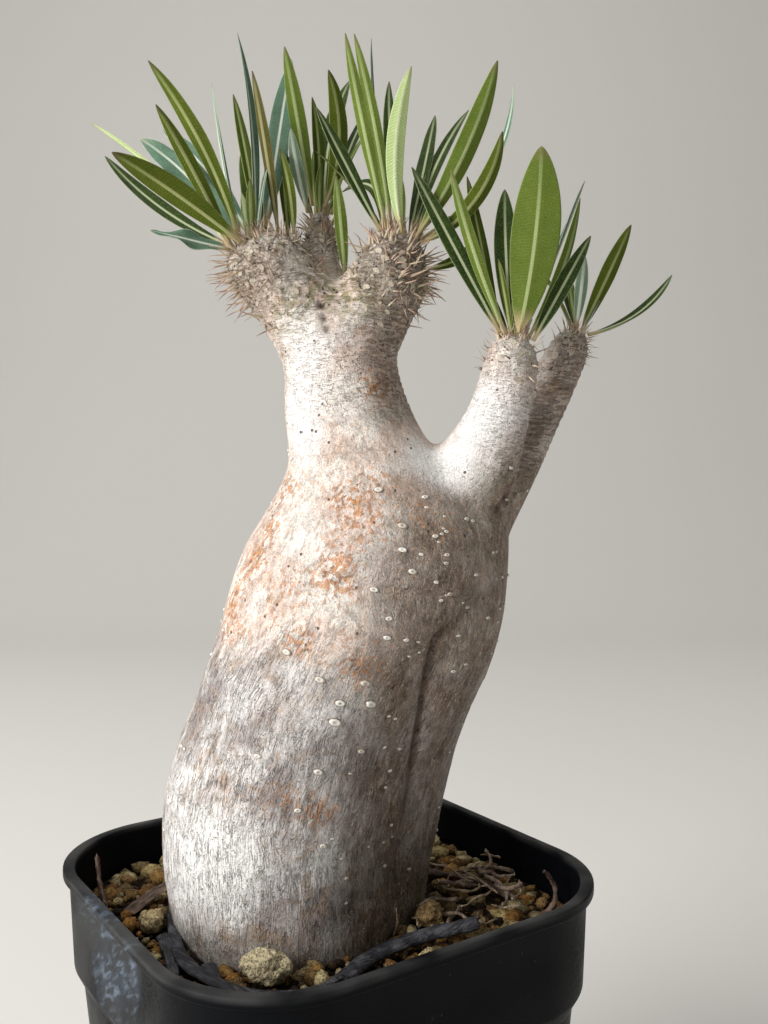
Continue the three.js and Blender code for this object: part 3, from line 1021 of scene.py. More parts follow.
@dataclass(frozen=True)
class Limb:
    """The middle line of one limb, its girths, how far up the plant it starts, and how far across."""

    points: tuple[Place, ...]
    girths: tuple[float, ...]
    start: float = 0.0
    branch: Place = (0.0, 0.0, 0.0)

    def measure(self, places: np.ndarray) -> tuple[np.ndarray, np.ndarray, np.ndarray]:
        """Finds where places are against the limb.

        Args:
            places: One row of plant millimetres for each place.

        Returns:
            The offset from the middle line, the distance along it, and the height over the bark.
        """
        gap = np.full(len(places), 1e9)
        offset = np.zeros_like(places)
        along = np.zeros(len(places))
        run = self.start
        for i in range(len(self.points) - 1):
            a, b = np.array(self.points[i]), np.array(self.points[i + 1])
            length = float(np.linalg.norm(b - a))
            share = np.clip((places - a) @ (b - a) / length**2, 0.0, 1.0)
            away = places - (a + share[:, None] * (b - a))
            girth = self.girths[i] + share * (self.girths[i + 1] - self.girths[i])
            over = np.linalg.norm(away, axis=1) - girth
            nearer = over < gap
            gap = np.where(nearer, over, gap)
            offset = np.where(nearer[:, None], away, offset)
            along = np.where(nearer, run + share * length, along)
            run += length
        return offset + np.array(self.branch), along, gap


@dataclass(frozen=True)
class Spot:
    """A soft round mark on the plant: its middle, its reach and its strength."""

    place: Place
    reach: float
    strength: float = 1.0

    def on(self, places: np.ndarray) -> np.ndarray:
        """Gives the mark's strength at every place."""
        return self.strength * bell(np.linalg.norm(places - np.array(self.place), axis=1), self.reach)


def marks(*rows: Sequence[float]) -> tuple[Spot, ...]:
    """Reads marks from rows of x, y, z, reach and, where it is not 1, strength."""
    return tuple(Spot(row[:3], *row[3:]) for row in rows)


def all_spots(spots: Iterable[Spot], places: np.ndarray) -> np.ndarray:
    """Adds marks up, to at most 1."""
    return np.clip(sum(spot.on(places) for spot in spots), 0.0, 1.0)


@dataclass
class Caudex:
    """The swollen stem with its limbs, grown as one body of bark."""

    coarse: float = 1.3 * MM
    fine: float = 0.72 * MM
    soften: int = 13
    lumps: float = 0.35
    folds: float = 0.17
    rings: float = 0.12
    knobs: float = 0.75

    LIMBS = (
        Limb(
            ((-8, -2, 60), (-8, -2.5, 90), (-8, -2.5, 112), (-2, -2, 136), (8, -2, 158), (12.5, -1.5, 175),
             (10, -1, 194), (6, -1, 208), (4, -1, 222)),
            (26, 28, 29, 28, 28, 25, 16, 13.5, 11.5),
        ),
        Limb(
            ((10.5, 2, 86), (17.5, 2, 117), (27, 0, 146), (30, 0.5, 172)),
            (14.5, 14, 16, 15), 26.0, (24, 3, 0),
        ),
        Limb(
            ((27, -1.5, 173), (37, -4.5, 193), (42, -7, 205), (44.8, -8, 219)),
            (12, 9.5, 7, 5), 115.0, (20, 0, 0),
        ),
        Limb(
            ((33, 4, 173), (47, 8.5, 193), (55, 11, 208), (62.5, 12, 223)),
            (10, 7, 6, 4), 115.0, (25, 5, 0),
        ),
        Limb(((2, -1, 219), (-8, -3, 233), (-14.5, -5.5, 240)), (10, 9.5, 6.5), 163.0, (-2, 0, 0)),
        Limb(((6, -1, 219), (14, -3, 230), (19.5, -6, 242)), (10, 9, 5), 163.0, (2, 0, 0)),
        Limb(((2, 4, 228), (1, 7, 238), (0, 9, 251)), (6, 5, 3), 172.0, (-2, 5, 0)),
    )
    FURROW = (
        (39, -14, 164, 0.2), (31, -19, 158.5, 0.7), (26, -21.5, 154, 1.3), (22.7, -18, 142, 1.2),
        (21, -15, 128, 1.1), (19, -12.8, 116, 0.7), (17, -13, 105, 0.3), (15, -16.7, 95, 0.1),
    )
    SPINY_HEADS = marks(
        (-13, -5, 235, 9.0), (-7, 1, 239, 6.0), (18, -4, 235, 8.0), (23, 6, 235, 5.0),
        (1, 8, 246, 6.0, 0.7), (44.5, -8, 217, 4.5, 0.6), (61.5, 12, 221, 4.0, 0.6),
    )
    STAINS = marks(
        (-11, -14, 178, 4.5, 0.7), (-14, -14, 170, 5.0, 0.8), (-19, -12, 162, 5.0, 0.75),
        (-22, -12, 154, 5.0, 0.6), (-17, -19, 156, 4.5, 0.5), (-6, -24, 166, 5.0, 0.45),
        (5, -26, 168, 5.5, 0.8), (3, -25, 176, 5.0, 0.55), (-6, -10, 187, 4.5, 0.8),
        (7, -19, 184, 4.5, 0.6), (-2.5, -27, 153, 4.0, 0.8), (-9, -25, 158, 3.5, 0.4),
        (9, -28, 149, 4.5, 0.75), (11, -22, 179, 5.0, 0.6), (14, -18, 187, 4.0, 0.5),
        (2, -30, 119, 3.0, 0.9), (-4, -30, 122, 5.0, 0.45), (-16, -28, 121, 7.0, 0.3),
        (13, -12, 208, 3.0, 0.8), (36, -12, 193, 3.0, 0.7), (26, -19, 180, 6.0, 0.3),
        (-30, 4, 120, 10.0, 0.3), (4, 24, 160, 11.0, 0.6), (28, 18, 150, 8.0, 0.5),
        (-6, 12, 186, 8.0, 0.6),
    )
    # Pale bloom, and painted sheen: the marks low on the front left, where the key lamp falls, are painted
    # sheen.
    BLOOM_AND_SHEEN = marks(
        (-1, -21, 176, 8.0, 0.45), (-24, -24, 108, 13.0, 1.0), (-15, -30, 109, 9.0, 0.9),
        (-29, -16, 96, 8.0, 0.4), (-27, -16, 125, 6.0, 0.5), (-4, -10, 205, 8.0, 0.9),
        (-2, -12, 218, 7.0, 0.9), (-4, -12, 196, 7.0, 0.7), (23, -11, 192, 5.5, 0.9),
        (37.5, -12.5, 203, 11.0, 1.0), (31, -13, 190, 7.0, 0.9), (-16, -24, 140, 7.0, 0.5),
        (-4, -29, 148, 5.0, 0.6), (2, -29, 138, 7.0, 0.5), (6, -30, 108, 6.0, 0.3),
        (16, -9, 237, 4.0, 0.6), (-26, 12, 130, 13.0, 0.5), (10, 24, 184, 10.0, 0.5),
    )
    PURPLE = marks(
        (-15, -26, 137, 6.0, 0.6), (-24, -18, 142, 6.0, 0.5), (-11, -27, 146, 5.0, 0.4),
        (24, -25, 158, 9.0, 0.6), (14, -24, 168, 7.0, 0.35), (18, -23, 143, 7.0, 0.35),
        (10, -26, 128, 8.0, 0.45), (0, -29, 131, 8.0, 0.6), (8, -28, 118, 8.0, 0.6),
        (-12, 20, 140, 9.0, 0.5),
    )
    MOSS = marks(
        (1, -9.5, 231, 6.0), (10, -11, 229, 6.0), (-6, -11, 225, 5.0, 0.8), (0, 8, 232, 7.0, 0.7),
        (46, -11, 214, 3.0, 0.5), (20, -6, 90, 5.0, 0.5), (-10, -30, 90, 6.0, 0.3),
    )
    KNOT = Spot((-31, -17.7, 119), 2.0)
    PITS = marks(
        (1.7, -11, 226.4, 0.9), (2.2, -12, 223.4, 0.8), (2.7, -13, 221, 0.8), (41, -9.7, 181, 1.6),
        (43, -8.4, 183.5, 1.6),
    )

    def build(self, node: Thing, finish: Material) -> Thing:
        """Grows the bark over the CAD body and replaces it.

        Args:
            node: The CAD node of the caudex.
            finish: The bark's material.

        Returns:
            The bark's object.
        """
        mesh = with_modifiers(
            merged_copy(node),
            (
                ("REMESH", {"mode": "VOXEL", "voxel_size": self.coarse}),
                ("SMOOTH", {"factor": 0.5, "iterations": self.soften}),
                ("REMESH", {"mode": "VOXEL", "voxel_size": self.fine}),
                ("SMOOTH", {"factor": 0.5, "iterations": 4}),
            ),
        )
        count = len(mesh.vertices)
        world = np.empty(count * 3)
        mesh.vertices.foreach_get("co", world)
        world = world.reshape(-1, 3)
        normals = np.empty(count * 3)
        mesh.vertex_normals.foreach_get("vector", normals)
        normals = normals.reshape(-1, 3)
        turn = np.array(TURN)
        places = world @ turn / MM
        facing = normals @ turn

        grain, along = self.follow(places)
        wrinkled = self.wrinkled(places)
        ringed = self.ringed(places)
        rough = all_spots(self.SPINY_HEADS, places)
        rise = self.relief(places, grain, along, wrinkled, ringed, rough)
        world += normals * (rise * MM)[:, None]
        mesh.vertices.foreach_set("co", world.ravel())
        mesh.update()

        self.write(mesh, "grain", "FLOAT_VECTOR", "vector", grain)
        self.write(mesh, "along", "FLOAT", "value", along)
        shaded = self.shaded(places, facing)
        zones = (wrinkled, all_spots(self.STAINS, places), all_spots(self.BLOOM_AND_SHEEN, places))
        tints = (shaded, all_spots(self.MOSS, places), all_spots(self.PURPLE, places))
        growth = (ringed, rough, self.crease_shade(places))
        for name, masks in (("zones", zones), ("tints", tints), ("growth", growth)):
            row = np.column_stack((*masks, np.ones(count)))
            self.write(mesh, name, "FLOAT_COLOR", "color", row)
        return add_piece("bark", mesh, finish, ("caudex",))

    def write(self, mesh: Mesh, name: str, kind: str, field: str, values: np.ndarray) -> None:
        """Writes one value for each vertex as an attribute of the mesh."""
        attribute = mesh.attributes.new(name, kind, "POINT")
        attribute.data.foreach_set(field, np.ascontiguousarray(values, np.float32).ravel())

    def follow(self, places: np.ndarray) -> tuple[np.ndarray, np.ndarray]:
        """Finds how the bark's grain runs, blended softly from limb to limb.

        Args:
            places: The places, in plant millimetres.

        Returns:
            A vector that changes slowly along each limb, and the distance along the limbs.
        """
        total = np.zeros(len(places))
        grain = np.zeros_like(places)
        along = np.zeros(len(places))
        for limb in self.LIMBS:
            offset, run, gap = limb.measure(places)
            weight = np.exp(-np.clip(gap, -24.0, 24.0) / 2.6)
            total += weight
            grain += weight[:, None] * (offset + np.column_stack((run * 0, run * 0, run)))
            along += weight * run
        return grain / total[:, None], along / total

    def wrinkled(self, places: np.ndarray) -> np.ndarray:
        """Gives 1 on the old wrinkled bark and 0 on the smooth bark above it.

        Args:
            places: The places, in plant millimetres.

        Returns:
            One share for each place.
        """
        line = 148.0 - 0.16 * places[:, 0] + 4.0 * mottle(places, 9.0, 3.1)
        line += 9.0 * mottle(places, 17.0, 6.1) + 3.0 * mottle(places, 4.0, 2.4)
        old = 1.0 - ease(places[:, 2] - line, -10.0, 10.0)
        folded = bell(places[:, 0] - 26.0, 12.0) * (1.0 - ease(places[:, 2], 168.0, 182.0))
        return np.clip(old + 0.7 * folded, 0.0, 1.0)

    def ringed(self, places: np.ndarray) -> np.ndarray:
        """Gives 1 where the young limbs carry fine rings.

        Args:
            places: The places, in plant millimetres.

        Returns:
            One share for each place.
        """
        neck = ease(places[:, 2], 196.0, 208.0)
        limbs = ease(places[:, 0], 34.0, 40.0) * ease(places[:, 2], 184.0, 194.0)
        return np.clip(np.maximum(neck, limbs), 0.0, 1.0)

    def shaded(self, places: np.ndarray, facing: np.ndarray) -> np.ndarray:
        """Gives 1 on the darker bark of the right side and the foot: on the right side, turned from the key
        lamp, it is partly the bark's own darker tone and partly painted shade.

        Args:
            places: The places, in plant millimetres.
            facing: The way that the bark faces there. Not used.

        Returns:
            One share for each place.
        """
        x, z = places[:, 0], places[:, 2]
        lean = np.interp(z, (86, 117, 135, 150, 180, 200, 240), (-1, 0, 2, 3, 11, 8, 3))
        side = ease(x - lean, 1.0, 15.0) * (1.0 - ease(z, 184.0, 194.0))
        neck = ease(x - lean, 3.0, 9.0) * ease(z, 196.0, 204.0) * (1.0 - ease(x, 24.0, 30.0))
        arm = ease(x - (z - 130.0) * 0.55, 3.0, 12.0) * ease(x, 38.0, 42.0)
        foot = (1.0 - ease(z, 88.0, 100.0)) * 0.5
        blotchy = 0.95 + 0.45 * mottle(places, 8.0, 7.7)
        return np.clip((0.95 * side + 0.7 * neck + 0.7 * arm + foot) * blotchy, 0.0, 1.0)

    def relief(
        self, places: np.ndarray, grain: np.ndarray, along: np.ndarray, wrinkled: np.ndarray,
        ringed: np.ndarray, rough: np.ndarray,
    ) -> np.ndarray:
        """Works out how far the bark stands out from the smooth body, in millimetres.

        Args:
            places: The places, in plant millimetres.
            grain: Where they are against the grain.
            along: How far along the limbs they are.
            wrinkled: Their share of old bark.
            ringed: Their share of rings.
            rough: Their share of a spiny head.

        Returns:
            One height for each place.
        """
        calm = ease(places[:, 2], 84.0, 92.0)
        rise = self.lumps * mottle(places, 13.0, 1.3) * calm
        drawn = grain * np.array((1.0, 1.0, 0.17))
        crests = 1.0 - np.clip(np.abs(mottle(drawn, 2.6, 5.0)) * 4.0, 0.0, 1.0)
        rise += self.folds * wrinkled * calm * (crests - 0.4)
        sway = 2.5 * mottle(places, 6.0, 9.0)
        rise += self.rings * ringed * np.sin((along + sway) * 2 * math.pi / 2.1)

        spiny = rough > 0.08
        knobs = np.zeros(len(places))
        rows = places[spiny] / 2.3
        nearest = np.fromiter((noise.voronoi(Vector(row))[0][0] for row in rows), float, len(rows))
        knobs[spiny] = 0.45 - nearest
        rise += self.knobs * np.clip(rough * 1.5, 0.0, 1.0) * knobs
        filled = 1.0 - ease(places[:, 2], 140.0, 156.0)
        rise += 1.3 * filled * self.furrow(places, 4.2) - 1.5 * self.furrow(places, 1.15)
        away = np.linalg.norm(places - np.array(self.KNOT.place), axis=1)
        rise += 0.8 * bell(away - 2.6, 0.9) - 0.5 * bell(away, 1.3)
        for pit in self.PITS:
            rise -= 1.1 * pit.on(places)
        return rise

    def furrow(self, places: np.ndarray, reach: float) -> np.ndarray:
        """Gives the depth of the long furrow between the two swellings, at some width.

        Args:
            places: The places, in plant millimetres.
            reach: The furrow's half width.

        Returns:
            One share of the depth for each place.
        """
        depth = np.zeros(len(places))
        for (*a, deep_a), (*b, deep_b) in zip(self.FURROW, self.FURROW[1:]):
            start, run = np.array(a), np.array(b) - np.array(a)
            share = np.clip((places - start) @ run / (run @ run), 0.0, 1.0)
            away = np.linalg.norm(places - (start + share[:, None] * run), axis=1)
            depth = np.maximum(depth, (deep_a + share * (deep_b - deep_a)) * bell(away, reach))
        return depth

    def crease_shade(self, places: np.ndarray) -> np.ndarray:
        """Gives 1 in the bottoms of the furrow and the pits, where shade is painted dark."""
        line = 0.62 * self.furrow(places, 0.9) + 0.22 * self.furrow(places, 3.6)
        return np.clip(line + all_spots(self.PITS, places), 0.0, 1.0)


# ---- spines and scars


class Dressing:
    """Many small copies of a few shapes, gathered in one mesh."""

    def __init__(self) -> None:
        """Starts with nothing."""
        self.bm = bmesh.new()

    def add(self, shape: Mesh, matrix: Matrix, tint: Colour | None = None) -> None:
        """Adds one copy of a shape.

        Args:
            shape: The shape, about its own origin.
            matrix: Where the copy goes, in the model's frame.
            tint: The copy's own colour, for shapes with a tint.
        """
        copy = shape.copy()
        copy.transform(matrix)
        if tint is not None:
            row = np.tile(np.array((*tint, 1.0), np.float32), len(copy.vertices))
            copy.attributes["tint"].data.foreach_set("color", row)
        self.bm.from_mesh(copy)
        bpy.data.meshes.remove(copy)


def stand(place: Vector, up: Vector, spin: float, scale: Sequence[float]) -> Matrix:
    """Stands a shape on a place with its Z along a direction.

    Args:
        place: Where its origin goes.
        up: Where its Z points.
        spin: Its turn about that, in radians.
        scale: Its three scales.

    Returns:
        The matrix.
    """
    turn = up.to_track_quat("Z", "Y").to_matrix().to_4x4()
    return (
        Matrix.Translation(place) @ turn @ Matrix.Rotation(spin, 4, "Z")
        @ Matrix.Diagonal((*scale, 1.0))
    )


@dataclass(frozen=True)
class Head:
    """One growing head: its middle, the way its spines lean, their lengths, and how many of each."""

    middle: Place
    lean: Place
    spines: int
    lengths: tuple[float, float]
    scales: int
    knobs: int


@dataclass
class Armour:
    """The spines, dry scales, knobs and fibres round the growing heads."""

    rng: random.Random = field(default_factory=lambda: random.Random(11))
    spine_sides: int = 5
    grasp: float = 18 * MM

    HEADS = (
        Head((-12.5, -4.5, 235), (-0.75, -0.35, -0.15), 100, (3.2, 6.4), 40, 120),
        Head((-7, 1.5, 238), (0.0, 0.3, 0.8), 26, (2.5, 4.5), 12, 36),
        Head((17.5, -4.5, 234), (0.55, -0.4, 0.35), 92, (3.5, 6.8), 46, 100),
        Head((23, 6, 234), (0.6, 0.6, 0.0), 30, (2.5, 4.5), 10, 26),
        Head((0.8, 7.5, 243), (0.0, 0.1, 0.5), 46, (2.0, 4.0), 34, 30),
        Head((44.5, -8, 215), (-0.2, -0.2, 0.3), 34, (2.6, 4.6), 26, 20),
        Head((61.5, 12, 219.5), (0.3, -0.1, 0.4), 34, (2.2, 4.2), 18, 18),
    )

    def spine(self, bend: float) -> Mesh:
        """Makes one spine of unit length, bent to one side by a share of it.

        Args:
            bend: The share.

        Returns:
            The spine.
        """
        bm = bmesh.new()
        reach = bm.verts.layers.float.new("reach")
        bmesh.ops.create_cone(
            bm, cap_ends=True, segments=self.spine_sides, radius1=0.062, radius2=0.006, depth=1.0
        )
        bmesh.ops.translate(bm, verts=bm.verts, vec=(0.0, 0.0, 0.5))
        uprights = [e for e in bm.edges if abs(e.verts[0].co.z - e.verts[1].co.z) > 0.5]
        bmesh.ops.subdivide_edges(bm, edges=uprights, cuts=3)
        for vert in bm.verts:
            vert[reach] = vert.co.z
            girth = 1.0 - 0.35 * vert.co.z * (1.0 - vert.co.z)
            vert.co.x = vert.co.x * girth + bend * vert.co.z**2
            vert.co.y *= girth
        mesh = bpy.data.meshes.new("spine")
        bm.to_mesh(mesh)
        bm.free()
        return mesh

    def knob(self) -> Mesh:
        """Makes one old leaf scar: a low crescent mound with a hollow in its top.

        Returns:
            The scar.
        """
        bm = bmesh.new()
        reach = bm.verts.layers.float.new("reach")
        bmesh.ops.create_circle(bm, cap_ends=True, segments=10, radius=1.0)
        for inset, lift in ((0.32, 0.55), (0.28, 0.25), (0.18, -0.32)):
            bmesh.ops.inset_region(bm, faces=self.topmost(bm), thickness=inset)
            for face in self.topmost(bm):
                for vert in face.verts:
                    vert.co.z += lift
        for vert in bm.verts:
            vert[reach] = max(0.0, min(1.0, vert.co.z * 1.4))
            vert.co.y = vert.co.y * 0.62 - 0.25 * vert.co.x**2
        close_outward(bm)
        mesh = bpy.data.meshes.new("knob")
        bm.to_mesh(mesh)
        bm.free()
        return mesh

    def topmost(self, bm: BMesh) -> list[bmesh.types.BMFace]:
        """Gives the face with the most sides, which is the one still to be worked."""
        return [max(bm.faces, key=lambda face: (len(face.verts), face.index))]

    def build(self, bark: Surface, finish: Material, scar: Material) -> None:
        """Sets the heads with spines, scales, knobs and fibres.

        Args:
            bark: The bark that they stand on.
            finish: The spines' material.
            scar: The knobs' material.
        """
        spines = [self.spine(bend) for bend in (-0.22, -0.08, 0.1, 0.25)]
        knob = self.knob()
        curl = self.spine(0.7)
        above, below = TURN @ Vector((0.0, 0.0, 1.3)), TURN @ Vector((0.0, -0.2, -0.35))
        sharp, blunt, curled = Dressing(), Dressing(), Dressing()
        for head in self.HEADS:
            heart = in_frame(head.middle)
            tilt = TURN @ Vector(head.lean)
            for hit in self.sites(bark, heart, tilt, 1.05, head.spines):
                self.set_spine(sharp, spines, hit, tilt, head.lengths)
            for hit in self.sites(bark, heart, above, 0.9, head.scales):
                self.set_scale(sharp, spines, hit)
            for place, normal in self.sites(bark, heart, below, 1.2, head.knobs):
                size = self.rng.uniform(0.5, 0.95) * MM
                turn = self.rng.uniform(-0.9, 0.9)
                blunt.add(knob, stand(place - normal * 0.25 * MM, normal, turn, (size, size, size * 0.8)))
            for hit in self.sites(bark, heart, Vector(), 1.0, head.knobs * 2):
                self.set_fibre(curled, curl, hit)
        add_piece("spines", sharp.bm, finish)
        add_piece("head_knobs", blunt.bm, scar)
        add_piece("curled_fibres", curled.bm, scar)

    def sites(
        self, bark: Surface, heart: Vector, lean: Vector, spread: float, count: int
    ) -> Iterable[tuple[Vector, Vector]]:
        """Finds places on the bark round a head, one after another.

        Args:
            bark: The bark.
            heart: The head's middle, inside the bark.
            lean: The way that the places gather.
            spread: How far they stray from it.
            count: How many are looked for; some find no bark within grasp.

        Yields:
            Each place with the bark's normal.
        """
        for _ in range(count):
            hit = bark.facing(heart, self.any_way(lean, spread), self.grasp)
            if hit is not None:
                yield hit

    def set_spine(
        self, sharp: Dressing, shapes: Sequence[Mesh], hit: tuple[Vector, Vector], tilt: Vector,
        lengths: tuple[float, float],
    ) -> None:
        """Sets one stiff spine that leans with its head.

        Args:
            sharp: The spines so far.
            shapes: The spines to choose from.
            hit: Its place and the bark's normal.
            tilt: The way that it leans.
            lengths: The shortest and the longest, in millimetres.
        """
        place, normal = hit
        up = (normal + tilt * 0.35 + self.any_way(Vector(), 0.4) * 0.45).normalized()
        long = self.rng.uniform(*lengths) * MM
        thick = long * self.rng.uniform(0.75, 1.15)
        shape = self.rng.choice(shapes)
        turn = self.rng.uniform(0.0, 2 * math.pi)
        sharp.add(shape, stand(place - up * 0.3 * MM, up, turn, (thick, thick, long)))

    def set_scale(self, sharp: Dressing, shapes: Sequence[Mesh], hit: tuple[Vector, Vector]) -> None:
        """Sets one broad dry scale that points upward.

        Args:
            sharp: The spines and scales so far.
            shapes: The spines to widen.
            hit: Its place and the bark's normal.
        """
        place, normal = hit
        up = (normal + Vector((0.0, 0.0, 0.9)) + self.any_way(Vector(), 0.3) * 0.4).normalized()
        long = self.rng.uniform(2.2, 4.4) * MM
        turn = self.rng.uniform(0.0, 2 * math.pi)
        size = (long * 2.2, long * 1.2, long)
        sharp.add(self.rng.choice(shapes), stand(place - up * 0.4 * MM, up, turn, size))

    def set_fibre(self, curled: Dressing, curl: Mesh, hit: tuple[Vector, Vector]) -> None:
        """Sets one curled fibre that lies almost flat.

        Args:
            curled: The fibres so far.
            curl: The fibre.
            hit: Its place and the bark's normal.
        """
        place, normal = hit
        flat = normal.cross(self.any_way(Vector(), 1.0)).normalized()
        up = (flat + normal * self.rng.uniform(0.15, 0.6)).normalized()
        long = self.rng.uniform(1.2, 2.6) * MM
        turn = self.rng.uniform(0.0, 2 * math.pi)
        size = (long * 1.6, long * 1.6, long)
        curled.add(curl, stand(place - normal * 0.1 * MM, up, turn, size))

    def any_way(self, lean: Vector, spread: float) -> Vector:
        """Gives a random direction that leans one way.

        Args:
            lean: The way it leans.
            spread: How far it strays.

        Returns:
            The direction.
        """
        while True:
            way = Vector((self.rng.uniform(-1, 1), self.rng.uniform(-1, 1), self.rng.uniform(-1, 1)))
            if 0.1 < way.length < 1.0:
                return (way.normalized() * spread + lean).normalized()


@dataclass
class Pores:
    """The raised pores and dashes of the trunk and limbs."""

    seed: int = 23
    scattered: int = 260

    # Each pore, one by one: where it is looked for, across and up, its length and its tilt.
    KNOWN = (
        (5.8, 141.7, 1.7, -14), (12, 141, 1.9, -12), (4.7, 137.8, 2.0, -16), (11, 145.6, 1.6, -8),
        (16, 159, 1.2, 0), (19, 173, 1.4, -10), (19, 178, 1.5, -14), (26, 175.7, 1.1, 0),
        (21, 168.5, 1.4, -12), (13, 165, 1.4, -10), (15.6, 155, 1.3, -8), (19.6, 154.3, 1.0, 0),
        (28.5, 171.7, 1.0, 0), (29, 163.4, 1.0, 0), (-5.3, 152, 1.5, -20), (1.7, 146.6, 1.6, -18),
        (-11.3, 131, 1.3, -12), (1.2, 127.7, 1.5, -16), (14, 185.6, 1.5, 0), (24, 184, 1.1, 0),
        (31, 154, 0.9, 0), (33, 160, 0.9, 0), (35, 167, 0.9, 0), (30, 146, 0.9, 0),
        (10, 131, 1.2, -10), (-3, 120, 1.2, 0), (2, 112, 1.2, 0), (16, 125, 1.0, 0),
    )

    def pore(self) -> Mesh:
        """Makes one pore: a low lens with a slit along its top.

        Returns:
            The pore.
        """
        bm = bmesh.new()
        reach = bm.verts.layers.float.new("reach")
        bmesh.ops.create_circle(bm, cap_ends=True, segments=12, radius=1.0)
        for share, lift in ((0.72, 0.62), (0.62, 0.16), (0.45, -0.30)):
            face = max(bm.faces, key=lambda f: (len(f.verts), f.index))
            grown = bmesh.ops.extrude_discrete_faces(bm, faces=[face])["faces"][0]
            centre = grown.calc_center_median()
            bmesh.ops.scale(
                bm, vec=(share, share, 1.0), verts=grown.verts, space=Matrix.Translation(-centre)
            )
            bmesh.ops.translate(bm, verts=grown.verts, vec=(0.0, 0.0, lift))
        for vert in bm.verts:
            vert[reach] = max(0.0, min(1.0, vert.co.z * 1.3))
            vert.co.y *= 0.52
        close_outward(bm)
        mesh = bpy.data.meshes.new("pore")
        bm.to_mesh(mesh)
        bm.free()
        return mesh

    def build(self, bark: Surface, finish: Material) -> None:
        """Sets the pores on the bark.

        Args:
            bark: The bark.
            finish: The pores' material.
        """
        rng = random.Random(self.seed)
        shape = self.pore()
        dressing = Dressing()
        for x, z, length, tilt in self.KNOWN:
            front = in_frame((x, -60.0, z))
            hit = bark.facing(in_frame((x, 10.0, z)), (front - in_frame((x, 10.0, z))).normalized(), 0.07)
            if hit is not None:
                self.set_one(dressing, shape, hit, length, tilt)
        for _ in range(self.scattered):
            up = rng.uniform(94.0, 198.0)
            middle = Vector(
                (float(np.interp(up, (86, 117, 150, 180, 200), (-4, -2, 10, 16, 8))), 0.0, up)
            )
            angle = rng.uniform(0.0, 2 * math.pi)
            if math.sin(angle) < -0.55 and math.cos(angle) < 0.2:
                continue
            way = TURN @ Vector((math.cos(angle), math.sin(angle), 0.0))
            hit = bark.facing(TO_FRAME @ middle, way)
            if hit is not None:
                self.set_one(dressing, shape, hit, rng.uniform(0.55, 1.0), rng.uniform(-14, 6))
        add_piece("bark_pores", dressing.bm, finish)

    def set_one(
        self, dressing: Dressing, shape: Mesh, hit: tuple[Vector, Vector], length: float, tilt: float,
    ) -> None:
        """Lays one pore flat on the bark with its length level but for its tilt.

        Args:
            dressing: The pores so far.
            shape: The pore.
            hit: Its place and the bark's normal.
            length: Its length in millimetres.
            tilt: Its tilt in degrees.
        """
        place, normal = hit
        level = Vector((0.0, 0.0, 1.0)).cross(normal).normalized()
        level = Matrix.Rotation(math.radians(tilt), 3, normal) @ level
        other = normal.cross(level)
        turn = Matrix((level, other, normal)).transposed().to_4x4()
        half = length * 0.80 * MM
        size = Matrix.Diagonal((half, half * 1.1, half * 0.72, 1.0))
        dressing.add(shape, Matrix.Translation(place - normal * 0.1 * MM) @ turn @ size)


# ---- leaves


